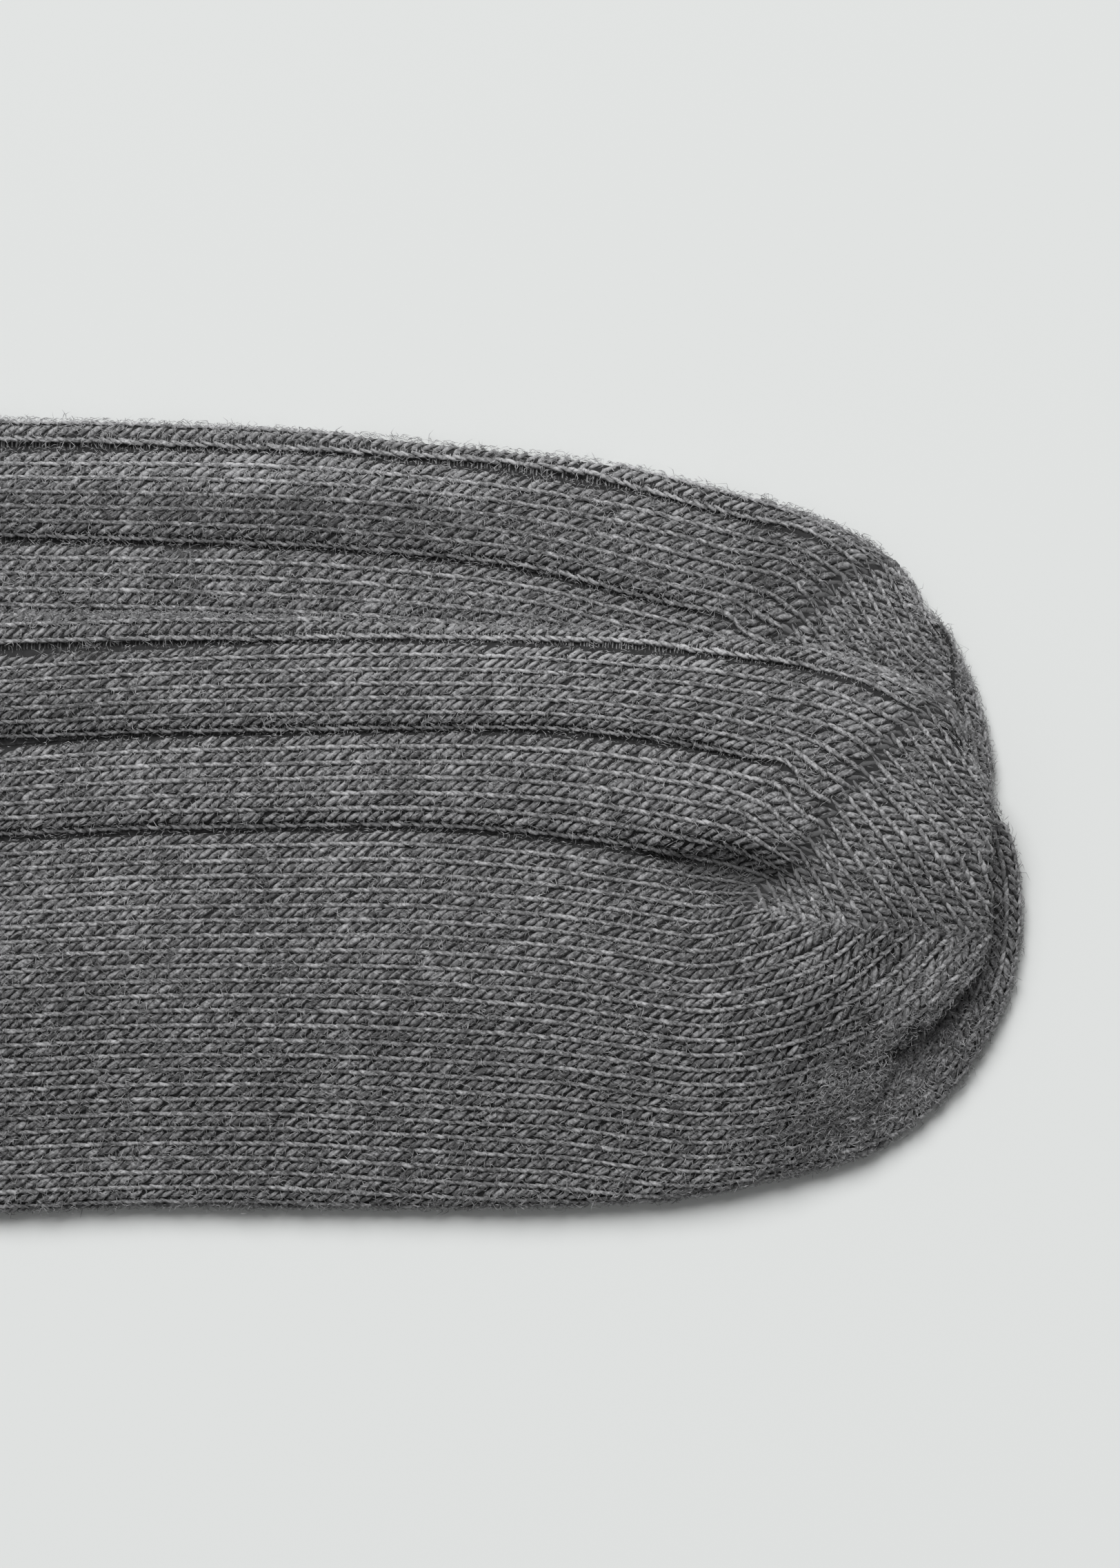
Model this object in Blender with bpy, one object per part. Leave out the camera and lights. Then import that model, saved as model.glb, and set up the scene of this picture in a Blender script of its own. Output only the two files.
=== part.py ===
"""Pair of ribbed wool socks, laid flat on their sides, the front sock lapping over the back one.

Each sock is one closed knitted wall: an outer face with its ribs raised, a plain inner face, an open
cuff and a closed toe. The wall is swept through sections: every section is a row of points that
runs from the spine, the groove between the ribbed instep and the plain sole, out to the folded edge
of the flattened sock. Leg and foot sections come in pairs, one row to the instep edge and one to the
sole edge. Past the last of them the rows fan round the spine's toe end, through the toe pocket and
its linking seam. The tables below are in millimetres: x runs to the toe, y to the instep.
"""
import math

import bmesh
import bpy
import numpy as np

MM = 0.001

# The knit. A wale is one column of stitches.
RIB_WIDTH = 13.5          # six knit wales between two purl grooves
GROOVE_DEPTH = 1.3        # purl groove below a rib's crown
RIB_SQUARENESS = 4.0      # higher makes the crowns flatter and the grooves narrower
WALL = 2.6                # knitted wall under a rib's crown
BASE_WALL = 2.0           # wall of the face that lies underneath
SEAM_GROOVE = 0.5         # dip along the toe linking seam

# The flattened sock, from its folded edge inwards.
EDGE_HEIGHT = 2.2         # height of the fold's outermost line
SHOULDER_HEIGHT = 5.2     # top face, just inside the fold
CROWN_HEIGHT = 8.6        # top face, well inside
FOLD_RUN = 3.0            # fold to shoulder
PILLOW_RUN = 22.0         # fold to full height
BASE_RUN = 2.0            # the fold's underside, before it lies flat
INNER_INSET = 3.4         # from the outer fold to the inner one
INNER_SEAT = 2.4          # height of the inner fold

# The front sock over the back one.
LAP_GAP = 0.5             # between the two socks
LAP_INSIDE = 9.0          # the lift is full this far inside the back sock's edge
LAP_OUTSIDE = 22.0        # and gone this far outside it, along the sole
LAP_ENDS = 10.0           # or this far, along the leg and round the toe
LAP_SOLE = (-50.0, 0.0, 118.0, 148.0)        # x where the sole's slope begins, is full, is full, ends

# The toe: the top layer ends in a lip that overhangs the layer under it.
LIP_RADIUS = 2.2
LIP_CURL = 1.4            # how far its lower edge turns back
LIP_DEPTH = 4.6           # lip's thickness
LIP_BACK = 6.0            # where the lip starts to round over
LIP_UNDERCUT = 3.2        # how far the fold runs in under the lip
STRIP_HEIGHT = 4.2        # top of the layer that shows past the lip
LIP_BRIDGE = 11.0         # the lip keeps the height that it has this far in

# The leg, which the photograph's edge hides: drawn from a crew sock's usual sizes.
ANKLE_RUN = 14.0          # straight foot left of the first table row
ANKLE_RADIUS = 45.0       # bend of the spine
LEG_TURN = math.radians(62.0)
LEG_LENGTH = 120.0
LEG_FRONT = 37.0          # spine to the leg's front fold
LEG_BACK = 54.0           # spine to the leg's back fold
HEEL_BULGE = 14.0
CUFF_HEIGHT = 22.0
CUFF_WELT = 0.4           # the doubled cuff stands this much higher
LEG_GROOVES = (0.0, 0.2745, 0.549, 0.8235)   # spine to the back fold, on the leg
LEG_RIBS = (0.44, 0.853)                     # spine to the front fold, on the leg

# One row for each foot section, from the ankle to the toe:
# spine x, y; instep edge x, y; sole edge x, y; the grooves' places from spine to instep edge.
FRONT_FOOT = (
    (0.0, 59.7, 0.0, 94.9, 0.0, 0.6, 0.430, 0.847),
    (21.7, 60.7, 21.7, 94.7, 21.7, 1.4, 0.450, 0.875),
    (43.4, 61.1, 43.4, 94.4, 43.4, 1.3, 0.460, 0.892),
    (65.1, 61.3, 65.1, 93.6, 65.1, 1.2, 0.480, 0.923),
    (86.8, 59.7, 86.8, 92.8, 86.8, 1.4, 0.510, 0.933),
    (108.5, 56.1, 108.5, 91.7, 108.5, 2.9, 0.510, 0.924),
    (123.7, 52.1, 124.8, 90.1, 123.7, 6.1, 0.490, 0.915),
)
BACK_FOOT = (
    (0.0, 90.6, 0.0, 125.8, -0.5, 30.8, 0.465, 0.887),
    (27.1, 90.2, 27.1, 125.1, 26.5, 29.6, 0.461, 0.897),
    (54.3, 89.2, 54.3, 123.5, 53.5, 27.6, 0.466, 0.910),
    (81.4, 87.0, 81.4, 120.7, 80.5, 25.9, 0.455, 0.916),
    (97.7, 83.6, 98.5, 118.4, 96.5, 25.6, 0.420, 0.905),
    (113.1, 78.7, 116.5, 114.1, 110.5, 27.0, 0.440, 0.897),
)
# Past the last section, between it and the seam: instep edge x, y.
FRONT_WEDGE = ((130.5, 89.0), (137.2, 87.0), (144.3, 84.1))
BACK_WEDGE = ((123.5, 112.2), (130.2, 109.6), (135.6, 107.2))
# The toe pocket, from the seam round to the sole's last section:
# the lip's edge x, y; the lower layer's edge x, y; how far the lip is folded over.
FRONT_POCKET = (
    (150.3, 81.0, 150.3, 81.0, 0.0),
    (153.7, 74.0, 152.2, 73.0, 0.6),
    (156.2, 67.3, 155.8, 66.4, 0.9),
    (156.1, 61.0, 159.0, 60.6, 1.0),
    (156.2, 54.5, 160.7, 54.0, 1.0),
    (156.1, 47.0, 161.0, 46.5, 1.0),
    (154.6, 40.0, 160.0, 38.4, 1.0),
    (150.6, 34.2, 156.8, 29.8, 1.0),
    (145.1, 29.6, 152.2, 22.5, 1.0),
    (140.6, 28.8, 148.0, 17.7, 0.7),
    (136.6, 28.4, 142.8, 13.6, 0.35),
    (131.5, 28.0, 135.5, 9.2, 0.1),
    (123.7, 24.0, 123.7, 6.1, 0.0),
)
BACK_POCKET = (
    (141.1, 103.4, 141.1, 103.4, 0.0),
    (146.7, 97.0, 145.2, 96.0, 0.6),
    (150.3, 91.6, 150.0, 90.9, 0.9),
    (150.9, 82.4, 153.6, 82.6, 1.0),
    (151.6, 77.0, 155.4, 76.6, 1.0),
    (151.9, 70.0, 156.5, 68.9, 1.0),
    (150.6, 62.4, 155.6, 60.0, 1.0),
    (146.5, 56.0, 152.8, 51.5, 1.0),
    (139.0, 51.5, 146.5, 43.2, 1.0),
    (134.5, 49.5, 141.5, 38.8, 0.7),
    (129.5, 48.0, 134.5, 34.2, 0.35),
    (122.5, 47.0, 125.0, 30.2, 0.1),
    (111.0, 46.0, 110.5, 27.0, 0.0),
)
# Points of an outer row from groove to groove, and from the last groove to the fold. Both kinds of
# row have the same number of points, because they meet at the toe seam.
INSTEP_STEPS = ((0.0, 0.12, 0.26, 0.42, 0.58, 0.74, 0.88), (0.0, 0.3, 0.58, 0.82, 1.0))
SOLE_STEPS = ((0.0, 0.16, 0.38, 0.62, 0.84), (0.0, 0.5, 0.8, 1.0))
FAR_STEPS = (0.0, 0.13, 0.25, 0.36, 0.46, 0.56, 0.65, 0.74, 0.82)
INNER_STEPS = 7
INNER_EVERY = 2           # the plain inner face takes every second row
FOOT_SPLITS = 5
LEG_ROWS = 46
TOE_SPLITS = 3

WOOL = (0.105, 0.105, 0.105, 1.0)


def smooth_step(value):
    t = np.clip(value, 0.0, 1.0)
    return t * t * (3.0 - 2.0 * t)


def quarter_round(value):
    t = np.clip(value, 0.0, 1.0)
    return np.sqrt(1.0 - (1.0 - t) ** 2)


def refine(rows, splits):
    """A smooth curve through the rows of a table, with the given steps between two rows."""
    table = np.array(rows, float)
    padded = np.vstack([2 * table[0] - table[1], table, 2 * table[-1] - table[-2]])
    fine = []
    for i in range(1, len(table)):
        before, start, end, after = padded[i - 1:i + 3]
        for step in range(splits):
            t = step / splits
            fine.append(0.5 * (2 * start + (end - before) * t
                               + (2 * before - 5 * start + 4 * end - after) * t ** 2
                               + (3 * start - before - 3 * end + after) * t ** 3))
    fine.append(table[-1])
    return np.array(fine)


def leg_table(first_row):
    """Sections of the leg and heel, from the cuff down to the foot's first table row."""
    ankle_arc = ANKLE_RADIUS * LEG_TURN
    total = ANKLE_RUN + ankle_arc + LEG_LENGTH
    spine = np.array(first_row[0:2])
    foot_front = first_row[3] - first_row[1]
    foot_back = first_row[1] - first_row[5]
    heading = math.pi
    travelled = 0.0
    rows = []
    small_steps = 40
    for row in range(1, LEG_ROWS + 1):
        goal = total * row / LEG_ROWS
        step = (goal - travelled) / small_steps
        for _ in range(small_steps):
            travelled += step
            turned = np.clip((travelled - ANKLE_RUN) / ankle_arc, 0.0, 1.0)
            heading = math.pi - LEG_TURN * turned
            spine = spine + step * np.array([math.cos(heading), math.sin(heading)])
        turned = np.clip((travelled - ANKLE_RUN) / ankle_arc, 0.0, 1.0)
        outward = np.array([math.sin(heading), -math.cos(heading)])
        heel = math.sin(math.pi * smooth_step((travelled + 6.0) / (ankle_arc + 34.0))) ** 2
        blend = smooth_step(travelled / (ANKLE_RUN + ankle_arc))
        front = foot_front + (LEG_FRONT - foot_front) * blend
        back = foot_back + (LEG_BACK - foot_back) * blend + HEEL_BULGE * heel
        mid_rib = first_row[6] + (LEG_RIBS[0] - first_row[6]) * blend
        edge_rib = first_row[7] + (LEG_RIBS[1] - first_row[7]) * blend
        rows.append((*spine, *(spine + outward * front), *(spine - outward * back), mid_rib, edge_rib))
    return rows[::-1]


def top_height(inset):
    """The plain top face of a flattened sock, by the distance in from its fold."""
    shoulder = (SHOULDER_HEIGHT - EDGE_HEIGHT) * quarter_round(inset / FOLD_RUN)
    pillow = (CROWN_HEIGHT - SHOULDER_HEIGHT) * (1 - (1 - np.clip(inset / PILLOW_RUN, 0, 1)) ** 2)
    return EDGE_HEIGHT + shoulder + pillow


def base_height(inset):
    return EDGE_HEIGHT * (1.0 - quarter_round(inset / BASE_RUN))


def rib_dip(place, start, end):
    """Depth under the crown line across one rib that runs from groove to groove."""
    across = np.abs(2.0 * (place - start) / (end - start) - 1.0)
    return np.where((place >= start) & (place <= end), across ** RIB_SQUARENESS, 0.0)


def row_fractions(stops):
    """Fractions of a row: the same steps to each rib, then the steps out to the fold."""
    rib_steps, edge_steps = INSTEP_STEPS if len(stops) == 3 else SOLE_STEPS
    fractions = []
    for start, end in zip(stops[:-1], stops[1:]):
        fractions += [start + (end - start) * step for step in rib_steps]
    fractions += [stops[-1] + (1.0 - stops[-1]) * step for step in edge_steps]
    return np.array(fractions)


class Back:
    """The outline of the sock underneath, for the lift of the one on top."""

    def __init__(self, outline):
        self.start = outline
        self.end = np.roll(outline, -1, axis=0)

    def inset(self, points):
        """Signed distance inside the outline."""
        side = self.end - self.start
        offset = points[:, None, :] - self.start[None]
        along = np.clip((offset * side).sum(2) / (side ** 2).sum(1), 0.0, 1.0)
        distance = np.linalg.norm(offset - along[..., None] * side, axis=2).min(1)
        y = points[:, 1][:, None]
        crosses = (self.start[:, 1] > y) != (self.end[:, 1] > y)
        rise = np.where(side[:, 1] == 0.0, 1e-9, side[:, 1])
        x_cross = self.start[:, 0] + (y - self.start[:, 1]) * side[:, 0] / rise
        inside = (crosses & (points[:, 0][:, None] < x_cross)).sum(1) % 2 == 1
        return np.where(inside, distance, -distance)

    def lift(self, points):
        """Height of the upper sock's underside: over the back sock, then down to the surface."""
        heel, foot, toe, tip = LAP_SOLE
        x = points[:, 0]
        sole = smooth_step((x - heel) / (foot - heel)) * smooth_step((tip - x) / (tip - toe))
        outside = LAP_ENDS + (LAP_OUTSIDE - LAP_ENDS) * sole
        full = CROWN_HEIGHT + LAP_GAP
        return full * smooth_step((self.inset(points) + outside) / (outside + LAP_INSIDE))


class Sock:
    """One flattened sock: its rows in plan, and the heights of its four faces."""

    def __init__(self, foot, wedge, pocket, under=None):
        self.under = under
        leg = leg_table(foot[0])
        foot_rows = refine(foot, FOOT_SPLITS)
        self.leg_rows = len(leg)
        self.sections = np.vstack([np.array(leg), foot_rows])
        self.pole = self.sections[-1, 0:2]
        seam_edge = pocket[0][0:2]
        self.wedge = refine((tuple(self.sections[-1, 2:4]), *wedge, seam_edge), 1)[1:-1]
        self.pocket = refine(pocket, TOE_SPLITS)[:-1]

    def outline(self):
        """The folded edge in plan, once round from the cuff's front corner."""
        beyond = np.where((np.linalg.norm(self.pocket[:, 0:2] - self.pole, axis=1)
                           > np.linalg.norm(self.pocket[:, 2:4] - self.pole, axis=1))[:, None],
                          self.pocket[:, 0:2], self.pocket[:, 2:4])
        return np.vstack([self.sections[:, 2:4], self.wedge, beyond, self.sections[::-1, 4:6]])

    def lift(self, points):
        return self.under.lift(points) if self.under else np.zeros(len(points))

    def plain_row(self, start, edge, stops, strengths, welt=0.0):
        """A top row from the spine to the fold, with a groove at each stop."""
        run = np.linalg.norm(edge - start)
        fractions = row_fractions(stops)
        plan = start + (edge - start) * fractions[:, None]
        inset = (1.0 - fractions) * run
        dip = np.zeros(len(fractions))
        strong = list(strengths)
        for i, (left, right) in enumerate(zip(stops[:-1], stops[1:])):
            middle = (left + right) / 2
            weight = np.where(fractions < middle, strong[i], strong[i + 1])
            dip = np.maximum(dip, weight * rib_dip(fractions, left, right))
        fold_rib = rib_dip(inset, (1 - stops[-1]) * run - RIB_WIDTH, (1 - stops[-1]) * run)
        dip = np.maximum(dip, strong[-1] * np.where(fractions >= stops[-1], fold_rib, 0.0))
        height = self.lift(plan) + top_height(inset) - GROOVE_DEPTH * dip
        height += welt * quarter_round(inset / FOLD_RUN)
        return np.column_stack([plan, height])

    def instep_row(self, section, ribs, welt=0.0):
        stops = (0.0, section[6], section[7])
        return self.plain_row(section[0:2], section[2:4], stops, ribs, welt)

    def sole_row(self, section, spine_strength, leg_share, welt=0.0):
        strengths = (spine_strength, leg_share, leg_share, leg_share)
        row = self.plain_row(section[0:2], section[4:6], LEG_GROOVES, strengths, welt)
        return row

    def pocket_row(self, lip_edge, strip_edge, fold):
        """A toe row: plain where the fold is 0, a lip over a lower layer where it is 1."""
        lip_run = np.linalg.norm(lip_edge - self.pole)
        strip_run = np.linalg.norm(strip_edge - self.pole)
        plain_edge = lip_edge if lip_run > strip_run else strip_edge
        plain = self.plain_row(self.pole, plain_edge, LEG_GROOVES, (0.0, 0.0, 0.0, 0.0))
        outward = (lip_edge - self.pole) / lip_run
        valley = min(lip_run, strip_run) - LIP_UNDERCUT
        ledge = strip_run - valley
        edge_runs = (lip_run - LIP_RADIUS, lip_run, lip_run - LIP_CURL, valley,
                     valley + 0.35 * ledge, valley + 0.78 * ledge, strip_run)
        face_steps = len(plain) - len(edge_runs)
        face_runs = (lip_run - LIP_BACK) * np.arange(face_steps) / (face_steps - 1)
        runs = np.append(face_runs, edge_runs)
        plan = self.pole + outward * runs[:, None]
        plan[-1] = strip_edge
        bridge = np.minimum(face_runs, lip_run - LIP_BRIDGE)
        face = self.lift(self.pole + outward * bridge[:, None]) + top_height(lip_run - face_runs)
        crest = face[-1]
        ground = self.lift(plan[-1:])[0]
        strip = ground + STRIP_HEIGHT
        under_lip = max(crest - LIP_DEPTH, strip + 1.0)
        edge_heights = (crest - 0.9, (crest + under_lip) / 2 + 0.4, under_lip, (under_lip + strip) / 2,
                        strip + 0.1, strip - 0.2, ground + EDGE_HEIGHT)
        lipped = np.column_stack([plan, np.append(face, edge_heights)])
        return plain * (1 - fold) + lipped * fold

    def far_row(self, start, edge):
        """The face underneath, from the spine out to where the fold begins to rise."""
        run = np.linalg.norm(edge - start)
        fractions = np.append(np.array(FAR_STEPS), [1.0 - 5.5 / run, 1.0 - BASE_RUN / run])
        plan = start + (edge - start) * fractions[:, None]
        return np.column_stack([plan, self.lift(plan) + base_height((1.0 - fractions) * run)])

    def inner_rows(self, start, edge):
        """The plain inner face: its top row, and its bottom row without the shared fold."""
        run = np.linalg.norm(edge - start)
        fractions = np.linspace(0.0, 1.0 - INNER_INSET / run, INNER_STEPS)
        plan = start + (edge - start) * fractions[:, None]
        lift = self.lift(plan)
        inset = (1.0 - fractions) * run
        ceiling = lift + np.maximum(top_height(inset) - WALL, INNER_SEAT)
        floor = lift + BASE_WALL
        ceiling[-1] = lift[-1] + INNER_SEAT
        top = np.column_stack([plan, ceiling])
        bottom = np.column_stack([plan, floor])[:-1:2]
        return top, bottom


class Skin:
    """Collects the points of one closed wall and the faces between its rows."""

    def __init__(self):
        self.mesh = bmesh.new()

    def row(self, points):
        return [self.mesh.verts.new(point) for point in points]

    def face(self, corners):
        distinct = []
        for corner in corners:
            if corner not in distinct:
                distinct.append(corner)
        if len(distinct) > 2:
            self.mesh.faces.new(distinct)

    def strip(self, row_a, row_b):
        """Quads between two rows of the same length."""
        for i in range(len(row_a) - 1):
            self.face((row_a[i], row_a[i + 1], row_b[i + 1], row_b[i]))

    def zip(self, ring_a, ring_b):
        """Triangles between two open chains of different lengths, end to end."""
        i = j = 0
        while i < len(ring_a) - 1 or j < len(ring_b) - 1:
            ahead_a = (i + 1) / (len(ring_a) - 1) if i < len(ring_a) - 1 else 2.0
            ahead_b = (j + 1) / (len(ring_b) - 1) if j < len(ring_b) - 1 else 2.0
            if ahead_a <= ahead_b:
                self.face((ring_a[i], ring_a[i + 1], ring_b[j]))
                i += 1
            else:
                self.face((ring_a[i], ring_b[j + 1], ring_b[j]))
                j += 1


def rib_strengths(index, sock):
    """How deep the three near-side grooves are at a section, and the share of the leg's ribs."""
    leg_share = 1.0 - smooth_step((index - 0.42 * sock.leg_rows) / (0.12 * sock.leg_rows))
    left = len(sock.sections) - 1 - index
    toe_fade = smooth_step((left + 0.5) / 3.0)
    return (toe_fade, toe_fade, 1.0), leg_share


def cuff_welt(index, sock):
    rows = CUFF_HEIGHT / ((ANKLE_RUN + ANKLE_RADIUS * LEG_TURN + LEG_LENGTH) / LEG_ROWS)
    return CUFF_WELT if index < rows else 0.0


def build_outer(skin, sock):
    """Both outer faces, as rows that share the spine and the fold."""
    near, far = [], []
    for index, section in enumerate(sock.sections):
        ribs, leg_share = rib_strengths(index, sock)
        welt = cuff_welt(index, sock)
        instep = skin.row(sock.instep_row(section, ribs, welt))
        sole = [instep[0]] + skin.row(sock.sole_row(section, ribs[0], leg_share, welt)[1:])
        far_instep = skin.row(sock.far_row(section[0:2], section[2:4])) + [instep[-1]]
        far_sole = [far_instep[0]] + skin.row(sock.far_row(section[0:2], section[4:6])[1:]) + [sole[-1]]
        near.append((instep, sole))
        far.append((far_instep, far_sole))
    for rows in (near, far):
        for (instep_a, sole_a), (instep_b, sole_b) in zip(rows[:-1], rows[1:]):
            skin.strip(instep_a, instep_b)
            skin.strip(sole_a, sole_b)
    fan_near, fan_far = [near[-1][0]], [far[-1][0]]
    near_pole, far_pole = near[-1][0][0], far[-1][0][0]
    last = sock.sections[-1]
    for index, edge in enumerate(sock.wedge):
        outer_groove = 1.0 - smooth_step((index + 1) / 2.5)
        points = sock.plain_row(sock.pole, edge, (0.0, last[6], last[7]), (0.0, 0.0, outer_groove))
        fan_near.append([near_pole] + skin.row(points[1:]))
        fan_far.append([far_pole] + skin.row(sock.far_row(sock.pole, edge)[1:]) + [fan_near[-1][-1]])
    for index, row in enumerate(sock.pocket):
        points = sock.pocket_row(row[0:2], row[2:4], float(np.clip(row[4], 0.0, 1.0)))
        if index == 0:
            points[1:-2, 2] -= SEAM_GROOVE
        fan_near.append([near_pole] + skin.row(points[1:]))
        fan_far.append([far_pole] + skin.row(sock.far_row(sock.pole, points[-1, 0:2])[1:])
                       + [fan_near[-1][-1]])
    fan_near.append(near[-1][1])
    fan_far.append(far[-1][1])
    for fan in (fan_near, fan_far):
        for row_a, row_b in zip(fan[:-1], fan[1:]):
            skin.strip(row_a, row_b)
    return (near[0][0][::-1] + near[0][1][1:]), (far[0][0][::-1] + far[0][1][1:])


def build_inner(skin, sock):
    """The hollow between the two layers, open at the cuff and closed in the toe."""
    rows = []
    picked = list(range(0, len(sock.sections) - 1, INNER_EVERY)) + [len(sock.sections) - 1]
    for index in picked:
        section = sock.sections[index]
        top_i, bottom_i = sock.inner_rows(section[0:2], section[2:4])
        top_s, bottom_s = sock.inner_rows(section[0:2], section[4:6])
        instep = skin.row(top_i)
        sole = [instep[0]] + skin.row(top_s[1:])
        far_instep = skin.row(bottom_i) + [instep[-1]]
        far_sole = [far_instep[0]] + skin.row(bottom_s[1:]) + [sole[-1]]
        rows.append((instep, sole, far_instep, far_sole))
    for row_a, row_b in zip(rows[:-1], rows[1:]):
        for chain_a, chain_b in zip(row_a, row_b):
            skin.strip(chain_a, chain_b)
    fan_top, fan_bottom = [rows[-1][0]], [rows[-1][2]]
    edges = list(sock.wedge[::INNER_EVERY])
    for row in sock.pocket[::INNER_EVERY]:
        lip_run = np.linalg.norm(row[0:2] - sock.pole)
        strip_run = np.linalg.norm(row[2:4] - sock.pole)
        lip_end = min(lip_run, strip_run) - LIP_UNDERCUT
        edges.append(sock.pole + (row[2:4] - sock.pole) * (lip_end * row[4] / strip_run + 1 - row[4]))
    for edge in edges:
        top, bottom = sock.inner_rows(sock.pole, np.asarray(edge))
        fan_top.append([rows[-1][0][0]] + skin.row(top[1:]))
        fan_bottom.append([rows[-1][2][0]] + skin.row(bottom[1:]) + [fan_top[-1][-1]])
    fan_top.append(rows[-1][1])
    fan_bottom.append(rows[-1][3])
    for fan in (fan_top, fan_bottom):
        for row_a, row_b in zip(fan[:-1], fan[1:]):
            skin.strip(row_a, row_b)
    first = rows[0]
    return (first[0][::-1] + first[1][1:]), (first[2][::-1] + first[3][1:])


def wool_material(name):
    material = bpy.data.materials.new(name)
    material.use_nodes = True
    shader = material.node_tree.nodes["Principled BSDF"]
    shader.inputs["Base Color"].default_value = WOOL
    shader.inputs["Roughness"].default_value = 0.95
    shader.inputs["Metallic"].default_value = 0.0
    return material


def build_sock(name, sock, centre):
    """One closed wall: outer faces, inner faces and the rim of the open cuff between them."""
    skin = Skin()
    outer_top, outer_bottom = build_outer(skin, sock)
    inner_top, inner_bottom = build_inner(skin, sock)
    skin.zip(outer_top, inner_top)
    skin.zip(outer_bottom, inner_bottom)
    skin.face((outer_top[0], outer_bottom[0], inner_top[0]))
    skin.face((outer_top[-1], outer_bottom[-1], inner_top[-1]))
    skin.face((outer_bottom[0], inner_bottom[0], inner_top[0]))
    skin.face((outer_bottom[-1], inner_bottom[-1], inner_top[-1]))
    for vert in skin.mesh.verts:
        vert.co.x = (vert.co.x - centre[0]) * MM
        vert.co.y = (vert.co.y - centre[1]) * MM
        vert.co.z *= MM
    bmesh.ops.triangulate(skin.mesh, faces=skin.mesh.faces)
    bmesh.ops.recalc_face_normals(skin.mesh, faces=skin.mesh.faces)
    data = bpy.data.meshes.new(name)
    skin.mesh.to_mesh(data)
    skin.mesh.free()
    data.materials.append(wool_material(name + "_wool"))
    piece = bpy.data.objects.new(name, data)
    bpy.context.collection.objects.link(piece)


def main():
    for item in list(bpy.data.objects):
        bpy.data.objects.remove(item, do_unlink=True)
    back = Sock(BACK_FOOT, BACK_WEDGE, BACK_POCKET)
    front = Sock(FRONT_FOOT, FRONT_WEDGE, FRONT_POCKET, under=Back(back.outline()))
    edges = np.vstack([back.outline(), front.outline()])
    centre = (edges.min(0) + edges.max(0)) / 2
    build_sock("sock_back", back, centre)
    build_sock("sock_front", front, centre)


main()
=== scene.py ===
"""Pair of ribbed wool socks: the knitted cloth over the frame, stitch by stitch, and its stage.

Lengths in the tables are millimetres on the sheet that the socks are drawn on: x runs to the toe and
y to the instep. A wale is a column of stitches and a course a row. Wales are counted round a sock
from the instep's centre: the purl grooves are at 2.5, 9.5 and 16.5 and the plain sole lies past them.
"""

import math

import bmesh
import bpy
import numpy as np
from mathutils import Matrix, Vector
from mathutils.bvhtree import BVHTree


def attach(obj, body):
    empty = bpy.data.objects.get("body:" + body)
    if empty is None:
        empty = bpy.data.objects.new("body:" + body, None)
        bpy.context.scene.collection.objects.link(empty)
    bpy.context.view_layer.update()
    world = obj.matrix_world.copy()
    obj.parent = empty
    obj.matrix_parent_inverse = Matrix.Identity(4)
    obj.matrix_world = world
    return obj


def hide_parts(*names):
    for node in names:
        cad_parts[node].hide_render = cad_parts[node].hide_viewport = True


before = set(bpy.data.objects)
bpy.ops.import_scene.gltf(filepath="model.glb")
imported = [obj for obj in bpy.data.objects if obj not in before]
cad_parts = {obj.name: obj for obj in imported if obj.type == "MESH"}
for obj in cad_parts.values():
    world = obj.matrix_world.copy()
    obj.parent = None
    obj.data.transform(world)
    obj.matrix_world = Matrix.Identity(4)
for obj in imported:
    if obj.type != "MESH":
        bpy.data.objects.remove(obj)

bl_info = {
    "name": "Ribbed wool socks",
    "version": (1, 0, 0),
    "blender": (4, 5, 0),
    "location": "3D View > Sidebar > Socks",
    "description": "Knits a pair of ribbed socks over their frame",
    "category": "Object",
}

MM = 0.001
CHUNK = 4000              # points that are measured against an outline at once
SHEET_CENTRE = (1.66304, 116.86797)      # the sheet point that is the frame's origin
PHOTO_SIZE = (1624, 2274)
PHOTO_WIDTH = 176.2                      # millimetres of sheet across the photograph
PHOTO_CENTRE = (88.10, 68.14)

# The form of the socks. It is the frame's, but with deeper grooves, rounder ribs, a lower fold and a
# softer lap.
PROUD = 0.45              # the stitches stand this far out of the shell that carries them
RIB_WIDTH = 13.5          # of the rib that runs over the fold
GROOVE_DEPTH = 2.1
SLOT_DEPTHS = (1.4, 1.1, 0.5)    # the narrow slot at the bottom of each groove, from the spine out
SLOT_HALF = 0.85
RIB_SQUARENESS = 2.1      # the power of a rib's section: 2 is round, and more is squarer
WALL = 3.0                # thickness of the layer on top, and of the one underneath
BASE_WALL = 2.0
EDGE_HEIGHT = 1.6         # height of the fold, of the shoulder inside it and of the middle
SHOULDER_HEIGHT = 4.3
CROWN_HEIGHT = 8.6
FOLD_RUN = 3.0            # from the fold in to the shoulder
PILLOW_RUN = 22.0         # from the fold in to the full height, on a row that is NARROW_ROW wide
NARROW_ROW = 36.0
PILLOW_SPREAD = 1.3       # and this much more for each millimetre that the row is wider
BASE_RUN = 2.0            # from the fold in to where the sock lies on the surface
BASE_STEPS = (1.0, 0.5, 0.15)    # shares of it at which the underside has a point
INNER_INSET = 3.4         # the hollow ends this far in from the fold, and this high
INNER_SEAT = 2.4
LAP_GAP = 0.5             # between the front sock and the back one
LAP_INSIDE = 16.0         # the front sock climbs from outside the back one's outline to inside it
LAP_OUTSIDE = 28.0
LAP_ENDS = 10.0           # and from this far outside at its leg and its toe's end
LAP_SOLE = (-50.0, 0.0, 118.0, 148.0)    # x where the long climb starts, is full, and ends again
LIP_RADIUS = 2.2
LIP_CURL = 1.4            # the lip's underside starts this far in
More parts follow.
